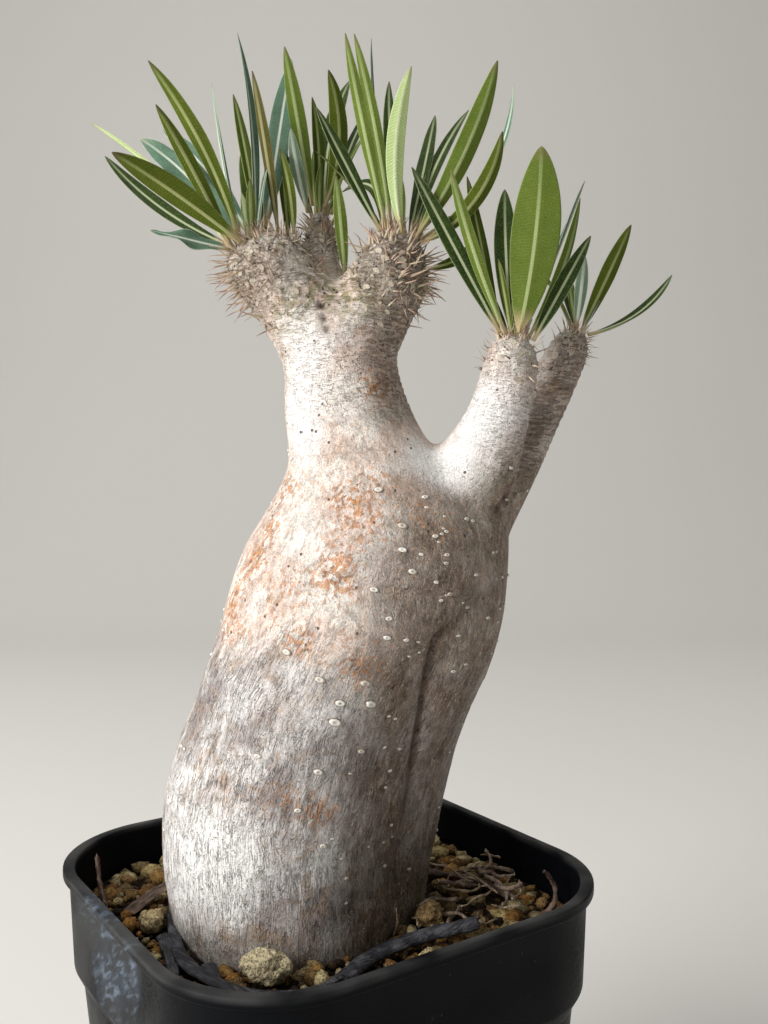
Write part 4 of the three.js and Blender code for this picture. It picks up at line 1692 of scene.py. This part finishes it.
@dataclass
class Blade:
    """The run of one leaf: places, sides and upper faces down its middle, and its width."""

    centres: list[Vector]
    sides: list[Vector]
    uppers: list[Vector]
    width: float

    @classmethod
    def of_node(cls, node: Thing) -> "Blade":
        """Reads the run of a leaf from its CAD solid, whose rings have two edges and two faces.

        Args:
            node: The CAD node.

        Returns:
            The leaf's run.
        """
        bm = merged_copy(node)
        ends = sorted((v for v in bm.verts if len(v.link_edges) == 4), key=lambda v: v.co.z)
        seen, level = {ends[0]}, [ends[0]]
        centres, sides, uppers, widths = [], [], [], []
        while level:
            if len(level) == 4:
                middle = sum((v.co for v in level), Vector()) / 4
                level.sort(key=lambda v: (v.co - middle).length)
                spine = (level[0].co + level[1].co) / 2
                edge = (level[2].co + level[3].co) / 2
                centres.append(spine)
                uppers.append((edge - spine).normalized())
                sides.append((level[2].co - level[3].co).normalized())
                widths.append((level[2].co - level[3].co).length)
            else:
                centres.append(level[0].co.copy())
            near = dict.fromkeys(e.other_vert(v) for v in level for e in v.link_edges)
            level = [w for w in near if w not in seen]
            seen.update(level)
        run = [(b - a) for a, b in zip(centres[1:], centres[2:])]
        sides = [s if s.dot(along.cross(up)) > 0 else -s for s, along, up in zip(sides, run, uppers)]
        bm.free()
        shares = sorted(w / cls.outline((i + 1) / (len(widths) + 1)) for i, w in enumerate(widths))
        widest = shares[len(shares) // 2]
        return cls(centres, [sides[0], *sides, sides[-1]], [uppers[0], *uppers, uppers[-1]], widest)

    @classmethod
    def grown(
        cls, foot: Vector, bearing: float, rise: float, length: float, width: float, turn: float,
        bow: float, sway: float,
    ) -> "Blade":
        """Grows a leaf from its foot.

        Args:
            foot: Where it starts, in the model's frame.
            bearing: Its direction about Z in the plant's frame, in degrees.
            rise: Its slope, in degrees.
            length: Its length in millimetres.
            width: Its greatest width in millimetres.
            turn: Its turn about its own line, in degrees.
            bow: How far its middle bows toward its upper side, in millimetres.
            sway: How far its middle sways sideways, in millimetres.

        Returns:
            The leaf's run.
        """
        flat = Vector((math.cos(math.radians(bearing)), math.sin(math.radians(bearing)), 0.0))
        along = TURN @ (flat * math.cos(math.radians(rise)) + Vector((0, 0, math.sin(math.radians(rise)))))
        upper = Vector((0, 0, 1)) - along * along.z
        upper = Matrix.Rotation(math.radians(turn), 3, along) @ upper.normalized()
        side = along.cross(upper)
        centres = []
        for step in range(10):
            t = step / 9
            swing = 4 * t * (1 - t)
            centres.append(foot + (along * length * t + upper * bow * swing + side * sway * swing) * MM)
        return cls(centres, [side] * 10, [upper] * 10, width * MM)

    @staticmethod
    def outline(share: float) -> float:
        """Gives the width at a share of the length, as a share of the greatest width."""
        return math.sin(math.pi * share**1.15) ** (0.60 + 0.05 * share)

    @property
    def length(self) -> float:
        """The length of its middle line, in metres."""
        return sum((b - a).length for a, b in zip(self.centres, self.centres[1:]))


@dataclass(frozen=True)
class LeafShape:
    """How a leaf's plain run is shaped: how it folds, rolls, waves and twists."""

    fold: float = 0.16
    roll: float = 1.3
    wave: float = 0.0
    waves: float = 3.0
    twist: float = 0.0
    phase: float = 0.0


@dataclass
class Foliage:
    """All the leaves, each a thin body with a grooved upper side and a keeled underside."""

    sides: int = 20
    steps: int = 38
    thickness: float = 0.42 * MM
    foot_half: float = 0.55 * MM
    tip_half: float = 0.14 * MM
    rng: random.Random = field(default_factory=lambda: random.Random(5))

    TONES = {
        LeafTone.OLIVE: "a_01 a_02 a_03 a_12 g_02 g_03 b_03 b_06 c_11 d_06 e_01 f_01",
        LeafTone.DEEP: "a_05 b_04 b_05 c_04 c_06 c_07 c_09 d_01 d_03 d_05 e_03",
        LeafTone.BLUE: "a_06 a_07 a_08 a_09 a_10 a_11 b_02 c_03 c_10 d_08 e_02",
        LeafTone.FRESH: "b_01 b_07 c_01 c_02 c_08 d_02 d_04 d_07", LeafTone.SUNLIT: "a_04 c_05",
        LeafTone.BRONZE: "g_01",
    }
    SHAPES = {
        "a_06": LeafShape(wave=0.35, waves=2.0, twist=50.0),
        "a_07": LeafShape(wave=0.30, waves=3.2, phase=1.0), "a_08": LeafShape(wave=0.12, waves=2.5),
        "a_09": LeafShape(fold=0.35, twist=25.0), "a_10": LeafShape(fold=0.40, twist=20.0),
        "a_11": LeafShape(fold=0.10, wave=0.10, waves=2.0),
        "b_07": LeafShape(fold=0.10, wave=0.10, waves=2.0, phase=2.0),
        "c_05": LeafShape(fold=0.25, roll=2.0), "d_04": LeafShape(fold=0.10, roll=0.8),
        "d_08": LeafShape(fold=0.55, twist=-70.0), "e_03": LeafShape(fold=0.35, twist=20.0),
    }
    # The leaves at the hearts and backs of the crowns: crown x and y, then for each leaf its
    # foot's offset across and away, bearing, rise, length, width, turn, bow, sway and tone.
    GROWN = {
        "a": (
            (-14.5, -6, 236),
            (
                (0.5, -0.5, 260, 84, 13, 2.2, 10, 0.4, 0.2, LeafTone.FRESH),
                (-0.6, 0.9, 170, 82, 11, 2.0, 80, 0.4, 0.1, LeafTone.SUNLIT),
                (1.4, 1.0, 40, 80, 16, 2.4, -10, 0.5, 0.4, LeafTone.BLUE),
                (-1.0, 4.4, 102, 52, 34, 4.2, 0, 1.5, 1.0, LeafTone.OLIVE),
                (2.2, 5.2, 78, 60, 31, 3.8, 10, 1.2, -0.8, LeafTone.DEEP),
            ),
        ),
        "b": (
            (0, 9, 246),
            (
                (0.3, 0.2, 300, 85, 12, 2.2, 0, 0.3, 0.2, LeafTone.FRESH),
                (-0.6, 0.8, 150, 82, 15, 2.4, 40, 0.4, 0.2, LeafTone.OLIVE),
                (-1.2, 1.6, 148, 58, 33, 4.0, 0, 1.5, 0.8, LeafTone.DEEP),
                (0.4, 2.0, 92, 55, 34, 4.4, 0, 1.6, -0.6, LeafTone.OLIVE),
                (1.4, 1.0, 30, 62, 30, 3.6, 0, 1.2, 0.8, LeafTone.FRESH),
            ),
        ),
        "c": (
            (19.2, -6, 236),
            (
                (0.4, 0.6, 250, 84, 14, 2.3, 0, 0.3, 0.1, LeafTone.FRESH),
                (-0.5, 1.2, 120, 82, 17, 2.4, 60, 0.4, 0.3, LeafTone.SUNLIT),
                (2.0, 3.4, 62, 66, 36, 4.0, 0, 1.2, 0.8, LeafTone.DEEP),
                (-2.6, 4.4, 150, 50, 31, 4.2, 0, 1.6, -0.8, LeafTone.OLIVE),
                (3.4, 4.6, 80, 46, 30, 4.0, 0, 1.5, 0.5, LeafTone.OLIVE),
            ),
        ),
        "d": (
            (44.8, -8, 216),
            (
                (0.3, 0.2, 300, 84, 15, 2.6, 0, 0.4, 0.2, LeafTone.FRESH),
                (-0.6, 0.8, 160, 80, 18, 2.4, 50, 0.4, 0.3, LeafTone.OLIVE),
                (-1.2, 2.2, 132, 52, 34, 4.4, 0, 1.6, 0.8, LeafTone.DEEP),
                (0.6, 2.8, 86, 56, 36, 4.2, 0, 1.4, -0.8, LeafTone.OLIVE),
            ),
        ),
        "e": (
            (62.5, 12, 220),
            (
                (0.0, 0.4, 200, 80, 13, 2.3, 20, 0.3, 0.2, LeafTone.FRESH),
                (-0.8, 1.0, 150, 58, 24, 3.4, 0, 1.2, 0.6, LeafTone.OLIVE),
                (0.4, 1.4, 95, 54, 27, 3.6, 0, 1.3, -0.6, LeafTone.DEEP),
                (1.2, 0.6, 50, 48, 24, 3.4, 0, 1.2, 0.4, LeafTone.BLUE),
            ),
        ),
    }

    def build(self, nodes: dict[str, Thing], bark: Surface) -> None:
        """Builds every leaf.

        Args:
            nodes: The CAD nodes by name.
            bark: The bark that the grown leaves stand on.
        """
        finishes = {tone: tone.value.make() for tone in LeafTone}
        for tone, names in self.TONES.items():
            for name in names.split():
                blade = Blade.of_node(nodes[f"leaf_{name}"])
                shape = self.SHAPES.get(name) or self.any_shape()
                add_piece(
                    f"blade_{name}", self.body(blade, shape), finishes[tone], (f"leaf_{name}",)
                )
        for crown, (heart, rows) in self.GROWN.items():
            for i, (across, away, *growth, tone) in enumerate(rows, 1):
                over = in_frame((heart[0] + across, heart[1] + away, heart[2] + 30.0))
                place, _, _, _ = bark.tree.ray_cast(over, Vector((0, 0, -1)), 0.06)
                foot = in_frame(heart) if place is None else place
                blade = Blade.grown(foot - Vector((0, 0, 0.3 * MM)), *growth)
                add_piece(
                    f"grown_{crown}_{i}", self.body(blade, self.any_shape()), finishes[tone]
                )

    def any_shape(self) -> LeafShape:
        """Gives a leaf a little character of its own.

        Returns:
            The leaf's shape.
        """
        return LeafShape(
            fold=self.rng.uniform(0.10, 0.24), wave=self.rng.uniform(0.0, 0.06),
            waves=self.rng.uniform(1.5, 3.5), twist=self.rng.uniform(-10.0, 10.0),
            phase=self.rng.uniform(0.0, 6.0),
        )

    def body(self, blade: Blade, shape: LeafShape) -> BMesh:
        """Builds one leaf as a closed body.

        Args:
            blade: The leaf's run.
            shape: How it folds, rolls, waves and twists.

        Returns:
            The leaf's mesh, with where each point is on the blade.
        """
        bm = bmesh.new()
        spread = bm.verts.layers.float_vector.new("blade")
        reach = bm.verts.layers.float.new("reach")
        breadth = bm.verts.layers.float.new("breadth")
        long = blade.length
        rings, marks = [], []
        for step in range(self.steps + 1):
            t = 0.5 - 0.5 * math.cos(math.pi * step / self.steps) if step else 0.0
            t = 0.45 * t + 0.55 * step / self.steps
            centre = smooth_run(blade.centres, t)
            upper = smooth_run(blade.uppers, t).normalized()
            along = (smooth_run(blade.centres, t + 0.02) - smooth_run(blade.centres, t - 0.02)).normalized()
            upper = (upper - along * upper.dot(along)).normalized()
            upper = Matrix.Rotation(math.radians(shape.twist) * t, 3, along) @ upper
            side = along.cross(upper)
            half = max(
                blade.width / 2 * blade.outline(min(max(t, 1e-6), 1 - 1e-6)),
                self.foot_half * (1.0 - t) ** 3, self.tip_half,
            )
            taper = 1.0 - 0.55 * t
            if step == self.steps:
                taper = 0.3
            ring, mark = [], []
            for k in range(self.sides):
                angle = 2 * math.pi * k / self.sides
                s = math.cos(angle)
                over = math.sin(angle)
                lift = shape.fold * half * abs(s) ** 1.4
                lift -= shape.roll * half * 0.25 * max(0.0, abs(s) - 0.72) ** 1.6
                lift += shape.wave * half * s * s * math.sin(2 * math.pi * shape.waves * t + shape.phase + s)
                thick = self.thickness / 2 * abs(over) ** 0.7 * taper * (1 if over > 0 else -1)
                if over > 0:
                    thick -= 0.5 * self.thickness * bell(s, 0.16) * (1.0 - t) * (half > 1.2 * MM)
                else:
                    thick -= 0.9 * self.thickness * bell(s, 0.2) * (1.0 - t) ** 0.6
                ring.append(centre + side * half * s + upper * (lift + thick))
                mark.append((s, t * long / MM, 1.0 if over > 1e-6 else 0.0 if over < -1e-6 else 0.5))
            rings.append(ring)
            marks.append((t, half / MM, mark))
        for loop, (t, wide, mark) in zip(skin(bm, rings), marks):
            for vert, where in zip(loop, mark):
                vert[spread] = where
                vert[reach] = t
                vert[breadth] = wide
        close_outward(bm)
        return bm


# ---- mix, stones and litter


@dataclass(frozen=True)
class GrainKind:
    """One kind of grain in the mix: its share, its size range and its tints."""

    name: str
    count: int
    sizes: tuple[float, float]
    tints: tuple[Colour, ...]
    lift: float = 0.0


@dataclass
class Topping:
    """The loose grains that lie on the mix."""

    inside_half: float = 49.4
    corner: float = 23.0
    rng: random.Random = field(default_factory=lambda: random.Random(42))

    KINDS = (
        GrainKind(
            "ochre_grains", 620, (1.6, 5.6),
            ((0.27, 0.135, 0.035), (0.30, 0.175, 0.055), (0.17, 0.085, 0.028), (0.25, 0.155, 0.06)), 0.1,
        ),
        GrainKind(
            "pale_grains", 340, (2.0, 6.4),
            ((0.38, 0.29, 0.13), (0.32, 0.25, 0.13), (0.44, 0.36, 0.19), (0.26, 0.19, 0.09)), 0.3,
        ),
        GrainKind(
            "dark_grains", 1000, (0.9, 3.0),
            ((0.030, 0.018, 0.010), (0.055, 0.032, 0.016), (0.09, 0.052, 0.026), (0.02, 0.013, 0.009)), -0.1,
        ),
    )

    def pebble(self, rough: float) -> Mesh:
        """Makes one worn grain of unit size with dented sides.

        Args:
            rough: How deep the dents are.

        Returns:
            The grain.
        """
        bm = bmesh.new()
        bm.verts.layers.float_color.new("tint")
        bmesh.ops.create_icosphere(bm, subdivisions=1, radius=0.5)
        shift = Vector((self.rng.uniform(0, 50), self.rng.uniform(0, 50), self.rng.uniform(0, 50)))
        for vert in bm.verts:
            vert.co *= 1.0 + rough * noise.noise(vert.co * 2.3 + shift)
        shares = (1.0, self.rng.uniform(0.7, 0.95), self.rng.uniform(0.6, 0.85))
        bmesh.ops.scale(bm, vec=shares, verts=bm.verts)
        mesh = bpy.data.meshes.new("pebble")
        bm.to_mesh(mesh)
        bm.free()
        return mesh

    def inside(self, x: float, y: float, margin: float) -> bool:
        """Tells whether a place, in the pot's own millimetres, is inside its walls.

        Args:
            x: The place across.
            y: The place away.
            margin: How far inside it must be.

        Returns:
            Whether it is.
        """
        reach = self.inside_half - margin
        corner = self.corner - margin
        dx, dy = max(abs(x) - (reach - corner), 0.0), max(abs(y) - (reach - corner), 0.0)
        return abs(x) < reach and abs(y) < reach and math.hypot(dx, dy) < corner

    def build(self, bark: Surface, lying: Sequence[Surface]) -> None:
        """Scatters the grains over the mix, round the foot of the plant.

        Args:
            bark: The bark that the grains stay clear of.
            lying: The stones and litter that they do not bury.
        """
        pebbles = [self.pebble(0.75) for _ in range(9)]
        for kind in self.KINDS:
            dressing = Dressing()
            placed = 0
            while placed < kind.count:
                x = self.rng.uniform(-self.inside_half, self.inside_half)
                y = self.rng.uniform(-self.inside_half, self.inside_half)
                low, high = kind.sizes
                size = low + (high - low) * self.rng.random() ** 2.0
                if not self.inside(x, y, size / 2 + 0.2):
                    continue
                ground = MIX_TOP - 0.2 + 1.2 * noise.noise(Vector((x / 14, y / 14, 0.5)))
                z = ground + kind.lift + size * self.rng.uniform(0.0, 0.3)
                place = Vector((x, y, z)) * MM
                if bark.outside_by(place) < size * 0.3 * MM:
                    continue
                if any(thing.outside_by(place) < size * 0.42 * MM for thing in lying):
                    continue
                turn = Matrix.Rotation(self.rng.uniform(0, 6.28), 4, "Z") @ Matrix.Rotation(
                    self.rng.uniform(-0.6, 0.6), 4, "X"
                )
                shade = self.rng.uniform(0.7, 1.2)
                tint = [channel * shade for channel in self.rng.choice(kind.tints)]
                dressing.add(
                    self.rng.choice(pebbles),
                    Matrix.Translation(place) @ turn @ Matrix.Scale(size * MM, 4), tuple(tint),
                )
                placed += 1
            finish = GrainFinish(kind.name, (0.06, 0.035, 0.018)).make()
            add_piece(kind.name, dressing.bm, finish)


def softened(node: Thing, cuts: int, dents: Sequence[tuple[float, float]]) -> BMesh:
    """Copies a CAD node, rounds it and dents it.

    Args:
        node: The CAD node.
        cuts: How many times its faces are divided and rounded.
        dents: The depth and the pitch of each layer of dents, in millimetres.

    Returns:
        The shape, with its own run and a tint.
    """
    bm = merged_copy(node)
    for _ in range(cuts):
        bmesh.ops.subdivide_edges(bm, edges=bm.edges, cuts=1, use_grid_fill=True)
        bmesh.ops.smooth_vert(
            bm, verts=bm.verts, factor=0.5, use_axis_x=True, use_axis_y=True, use_axis_z=True
        )
    bm.normal_update()
    for depth, pitch in dents:
        shifts = [
            v.normal * depth * MM * noise.noise(v.co / (pitch * MM) + Vector((3.0, 7.0, 1.0)))
            for v in bm.verts
        ]
        for vert, shift in zip(bm.verts, shifts):
            vert.co += shift
        bm.normal_update()
    mark_run(bm)
    return bm


def mark_run(bm: BMesh) -> None:
    """Writes each point's place along, across and through its piece, in millimetres.

    Args:
        bm: The piece, which gets the attribute run.
    """
    run = bm.verts.layers.float_vector.get("run") or bm.verts.layers.float_vector.new("run")
    cloud = np.array([v.co for v in bm.verts])
    middle = cloud.mean(0)
    _, axes = np.linalg.eigh(np.cov((cloud - middle).T))
    placed = (cloud - middle) @ axes[:, ::-1] / MM
    for vert, row in zip(bm.verts, placed):
        vert[run] = row


@dataclass
class Stones:
    """The four larger stones on the mix."""

    TINTS = {
        "stone_front": (0.50, 0.43, 0.27), "stone_left": (0.42, 0.33, 0.18),
        "stone_right": (0.36, 0.24, 0.11), "stone_back": (0.44, 0.35, 0.20),
    }

    def build(self, nodes: dict[str, Thing], finish: Material) -> None:
        """Dents and pits each stone.

        Args:
            nodes: The CAD nodes by name.
            finish: The stones' material.
        """
        for name, colour in self.TINTS.items():
            bm = softened(nodes[name], 3, ((0.9, 3.2), (0.45, 1.2), (0.18, 0.5)))
            tint = bm.verts.layers.float_color.new("tint")
            for vert in bm.verts:
                vert[tint] = (*colour, 1.0)
            add_piece(f"pitted_{name}", bm, finish, (name,))


@dataclass
class Litter:
    """The dry leaves, stalks and twigs that lie on the mix."""

    rng: random.Random = field(default_factory=lambda: random.Random(8))

    BROWN = ("dry_leaf_corner", "dry_leaf_left", "dry_twig_right", "dry_twig_upright")
    GREY = ("dry_leaf_curl", "dry_leaf_front", "dry_stalk_front")
    FINISHES = (
        LitterFinish("dry_stalk", (0.42, 0.33, 0.25), (0.23, 0.165, 0.12), (0.06, 0.038, 0.028)),
        LitterFinish("brown_litter", (0.24, 0.165, 0.12), (0.10, 0.062, 0.045), (0.028, 0.017, 0.013)),
        LitterFinish("grey_litter", (0.10, 0.10, 0.11), (0.028, 0.028, 0.034), (0.008, 0.008, 0.010)),
        LitterFinish("pale_root", (0.60, 0.48, 0.34), (0.40, 0.30, 0.20), (0.14, 0.09, 0.055)),
    )
    STRIPS = (
        (
            ((-35.5, 2, 92.5), (-34, -7, 90.5), (-31.5, -18, 88.8), (-28, -28, 88.2), (-22, -36, 88),
             (-14, -41.5, 87.9), (-6, -43.8, 88.1), (1, -42.6, 88.6), (6.5, -39, 89.4)),
            (0.5, 1.1, 1.4, 1.6, 1.6, 1.5, 1.4, 1.1, 0.5),
        ),
        (
            ((-33.5, -10, 88.2), (-30.5, -21, 87.4), (-25, -31, 87.2), (-18, -37.6, 87.1), (-9, -41.6, 87.1),
             (0, -40.8, 87.3)),
            (0.4, 0.8, 1.0, 1.0, 0.8, 0.3),
        ),
    )

    def build(self, nodes: dict[str, Thing]) -> Surface:
        """Shrivels each dry piece and adds the loose tangle beside the plant.

        Args:
            nodes: The CAD nodes by name.

        Returns:
            The long strips, which no grain may bury.
        """
        stalk, brown, grey, root = (finish.make() for finish in self.FINISHES)
        for names, finish, deep in ((self.BROWN, brown, 0.45), (self.GREY, grey, 0.22)):
            for name in names:
                bm = softened(nodes[name], 2, ((deep, 3.0), (deep * 0.6, 1.1)))
                add_piece(f"shrivelled_{name}", bm, finish, (name,))
        self.tangle(stalk, root)
        return Surface(self.strips(grey).data)

    def tangle(self, brown: Material, root: Material) -> None:
        """Lays the loose roots and stalks on the mix.

        Args:
            brown: The stalks' material.
            root: The roots' material.
        """
        stalks, roots = bmesh.new(), bmesh.new()
        for _ in range(13):
            x, y = self.rng.uniform(30, 44), self.rng.uniform(-12, 16)
            self.strand(stalks, (x, y, MIX_TOP + self.rng.uniform(1.5, 4.0)), self.rng.uniform(10, 20), 0.55)
        for _ in range(16):
            x, y = self.rng.uniform(20, 46), self.rng.uniform(-16, 20)
            self.strand(roots, (x, y, MIX_TOP + self.rng.uniform(1.2, 4.5)), self.rng.uniform(5, 14), 0.28)
        for place, top in (((16.4, -15.4, 86), 7.0), ((22, -11.5, 86), 3.6), ((25, -9.5, 86), 2.8)):
            foot = Vector(place)
            tip = foot + Vector((0.8, -0.6, top))
            points = [TO_FRAME @ p for p in (foot, foot.lerp(tip, 0.5) + Vector((0.7, 0, 0)), tip)]
            skin(roots, round_bar(points, [0.35 * MM, 0.3 * MM, 0.12 * MM], 8, 6))
        for bm, name, finish in ((stalks, "dry_stalks", brown), (roots, "loose_roots", root)):
            close_outward(bm)
            mark_run(bm)
            add_piece(name, bm, finish)

    def strand(self, bm: BMesh, start: Place, length: float, radius: float) -> None:
        """Lays one crooked strand that wanders over the mix from its start.

        Args:
            bm: The mesh that it is added to.
            start: Its start.
            length: Its length in millimetres.
            radius: Its radius in millimetres.
        """
        here = Vector(start)
        heading = self.rng.uniform(0, 2 * math.pi)
        points = [here.copy()]
        for _ in range(5):
            heading += self.rng.uniform(-0.7, 0.7)
            rise = self.rng.uniform(-0.25, 0.42)
            here = here + Vector((math.cos(heading), math.sin(heading), rise)) * length / 5
            here.x = min(max(here.x, 22.0), 47.0)
            here.y = min(max(here.y, -18.0), 24.0)
            here.z = min(max(here.z, MIX_TOP + 0.6), MIX_TOP + 9.0)
            points.append(here.copy())
        radii = [radius * MM * self.rng.uniform(0.6, 1.2) for _ in points]
        radii[-1] *= 0.4
        skin(bm, round_bar([TO_FRAME @ p for p in points], radii, 16, 6))

    def strips(self, finish: Material) -> Thing:
        """Lays the long dry strips that hug the front of the plant's foot.

        Args:
            finish: Their material.

        Returns:
            The strips' object.
        """
        bm = bmesh.new()
        for points, radii in self.STRIPS:
            places = [in_frame(point) for point in points]
            rings = round_bar(places, [radius * MM for radius in radii], 60, 12, 0.36)
            for i, ring in enumerate(rings):
                centre = sum(ring, Vector()) / len(ring)
                for side, place in enumerate(ring):
                    crimp = 1.0 + 0.22 * noise.noise(Vector((i / 5.0, side * 1.7, radii[0])))
                    ring[side] = centre + (place - centre) * crimp
            skin(bm, rings)
        close_outward(bm)
        mark_run(bm)
        return add_piece("dry_strips", bm, finish)


# ---- pot


@dataclass
class Pot:
    """The square nursery pot, with a rounded lip, a band under it and a stepped wall."""

    lip_half: float = 52.5
    corner: float = 27.0
    segments: int = 96
    round_off: float = 0.45

    # The outside from the foot up, over the lip and down the inside: half width and height. The
    # corners that are rounded are listed after it.
    PROFILE = (
        (42.5, 0.0), (48.6, 69.6), (50.5, 73.6), (50.85, 84.0), (51.2, 94.6), (52.5, 94.6),
        (52.5, 97.0), (50.0, 97.0), (49.3, 73.6), (47.4, 69.6), (41.44, 1.6),
    )
    ROUNDED = (0, 1, 2, 4, 5, 6, 7)
    DRAINS = 22.0
    DRAIN_RADIUS = 4.0

    def ring(self, half: float, height: float) -> list[Vector]:
        """Gives one level of the pot: a square with round corners that shrink in step with it.

        Args:
            half: Half its width.
            height: Its height.

        Returns:
            The level's points.
        """
        corner = self.corner * half / self.lip_half
        quarter = self.segments // 4
        turns = quarter - 6
        places = []
        for side in range(4):
            back = Matrix.Rotation(side * math.pi / 2, 3, "Z")
            reach = half - corner
            for step in range(turns):
                angle = math.pi / 2 * step / turns
                spot = (reach + corner * math.cos(angle), reach + corner * math.sin(angle), 0.0)
                places.append(back @ Vector(spot))
            for step in range(6):
                places.append(back @ Vector((reach - 2 * reach * step / 6, half, 0.0)))
        return [(place + Vector((0.0, 0.0, height))) * MM for place in places]

    def build(self, node: str, finish: Material) -> Thing:
        """Builds the pot, rounds its edges and opens its drain holes.

        Args:
            node: The CAD node that it replaces.
            finish: The pot's material.

        Returns:
            The pot's object.
        """
        bm = bmesh.new()
        loops = skin(bm, [self.ring(half, height) for half, height in self.PROFILE])
        close_outward(bm)
        sharp = []
        for level in self.ROUNDED:
            loop = set(loops[level])
            sharp += [edge for edge in bm.edges if loop.issuperset(edge.verts)]
        bmesh.ops.bevel(
            bm, geom=sharp, offset=self.round_off * MM, affect="EDGES", segments=3, profile=0.5,
            material=-1,
        )
        for x in (-self.DRAINS, self.DRAINS):
            for y in (-self.DRAINS, self.DRAINS):
                bm = self.drained(bm, Vector((x, y, 0.0)) * MM)
        return add_piece("nursery_pot", bm, finish, (node,))

    def drained(self, bm: BMesh, place: Vector) -> BMesh:
        """Cuts one drain hole through the floor.

        Args:
            bm: The pot, which is freed.
            place: The hole's middle.

        Returns:
            The pot with the hole.
        """
        drill = bmesh.new()
        bmesh.ops.create_cone(
            drill, cap_ends=True, segments=32, radius1=self.DRAIN_RADIUS * MM,
            radius2=self.DRAIN_RADIUS * MM, depth=8 * MM, matrix=Matrix.Translation(place),
        )
        mesh = bpy.data.meshes.new("drill")
        drill.to_mesh(mesh)
        drill.free()
        tool = new_object("drill", mesh)
        settings = {"object": tool, "operation": "DIFFERENCE", "solver": "EXACT"}
        cut = with_modifiers(bm, (("BOOLEAN", settings),))
        bpy.data.objects.remove(tool)
        bpy.data.meshes.remove(mesh)
        made = bmesh.new()
        made.from_mesh(cut)
        bpy.data.meshes.remove(cut)
        return made


# ---- stage


@dataclass
class Stage:
    """The floor, the lights and the camera."""

    half: float = 3.0
    bend_start: float = 0.9
    bend_radius: float = 0.7
    lens: float = 35.61
    key_power: float = 15.0
    sky: Colour = (0.20, 0.196, 0.19)
    camera_place: Place = (-0.11998, -0.20454, 0.18936)
    camera_right: Place = (0.82831, -0.56023, -0.00646)
    camera_down: Place = (-0.02722, -0.02873, -0.99922)
    camera_ahead: Place = (0.55961, 0.82784, -0.03905)

    def build(self) -> None:
        """Lays the paper and sets the lights and the camera."""
        bm = bmesh.new()
        bmesh.ops.create_grid(bm, x_segments=4, y_segments=120, size=self.half)
        for vert in bm.verts:
            vert.co = TURN @ self.swept(vert.co.x, vert.co.y)
        mesh = bpy.data.meshes.new("paper")
        bm.to_mesh(mesh)
        bm.free()
        mesh.materials.append(StageFinish().make())
        mesh.shade_smooth()
        new_object("paper", mesh)

        world = bpy.data.worlds.new("sky")
        world.use_nodes = True
        world.node_tree.nodes["Background"].inputs["Color"].default_value = (*self.sky, 1.0)
        bpy.context.scene.world = world
        self.lamp("key", (-880.0, -600.0, 560.0), 0.7, self.key_power, (1.0, 0.98, 0.955))
        self.lamp("wall_wash", (-300.0, 100.0, 1900.0), 1.2, 14.0, (1.0, 0.99, 0.97))
        self.camera()
        bpy.context.scene.view_settings.view_transform = "Standard"

    def swept(self, x: float, y: float) -> Vector:
        """Bends flat paper up behind the plant into a wall.

        Args:
            x: The place across.
            y: The place along the paper.

        Returns:
            The place on the bent paper.
        """
        over = y - self.bend_start
        turn = min(max(over, 0.0) / self.bend_radius, math.pi / 2)
        back = min(y, self.bend_start) + self.bend_radius * math.sin(turn)
        climb = max(over - self.bend_radius * math.pi / 2, 0.0)
        return Vector((x, back, self.bend_radius * (1.0 - math.cos(turn)) + climb - 0.2 * MM))

    def lamp(self, name: str, place: Place, size: float, power: float, colour: Colour) -> None:
        """Hangs one soft square lamp that faces the plant.

        Args:
            name: Its name.
            place: Its place in plant millimetres.
            size: Its side in metres.
            power: Its power in watts.
            colour: Its colour.
        """
        light = bpy.data.lights.new(name, "AREA")
        light.shape = "SQUARE"
        light.size = size
        light.energy = power
        light.color = colour
        lamp = new_object(name, light)
        lamp.location = in_frame(place)
        aim = in_frame((5.0, 0.0, 160.0)) - lamp.location
        lamp.rotation_euler = aim.to_track_quat("-Z", "Y").to_euler()

    def camera(self) -> None:
        """Sets the camera."""
        data = bpy.data.cameras.new("view")
        data.lens = self.lens
        data.sensor_width = 36.0
        data.clip_start = 0.01
        data.clip_end = 30.0
        camera = new_object("view", data)
        right, down, ahead = (Vector(v) for v in (self.camera_right, self.camera_down, self.camera_ahead))
        turn = Matrix((right, -down, -ahead)).transposed()
        camera.matrix_world = Matrix.Translation(Vector(self.camera_place)) @ turn.to_4x4()
        bpy.context.scene.camera = camera


# ---- all of it


def main() -> None:
    """Builds the whole plant in its pot, piece by piece."""
    logging.basicConfig(level=logging.INFO, format="%(name)s: %(message)s")
    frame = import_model()
    nodes = frame["nodes"]

    Stage().build()
    bark = Caudex().build(nodes["caudex"], BarkFinish().make())
    skin_of_bark = Surface(bark.data)
    scar = ScarFinish().make()
    knob = ScarFinish("head_knob", (0.56, 0.50, 0.40), (0.10, 0.075, 0.05))
    Armour().build(skin_of_bark, SpineFinish().make(), knob.make())
    Pores().build(skin_of_bark, scar)
    Foliage().build(nodes, skin_of_bark)
    mix = nodes["growing_mix"]
    mix.data.materials.clear()
    mix.data.materials.append(MixFinish().make())
    lying = [Surface(node.data) for name, node in nodes.items() if name.startswith(("dry_", "stone_"))]
    lying.append(Litter().build(nodes))
    Topping().build(skin_of_bark, lying)
    Stones().build(nodes, GrainFinish("pumice_stone", (0.10, 0.075, 0.04)).make())
    Pot().build("pot", PotFinish().make())


if __name__ == "__main__":
    main()
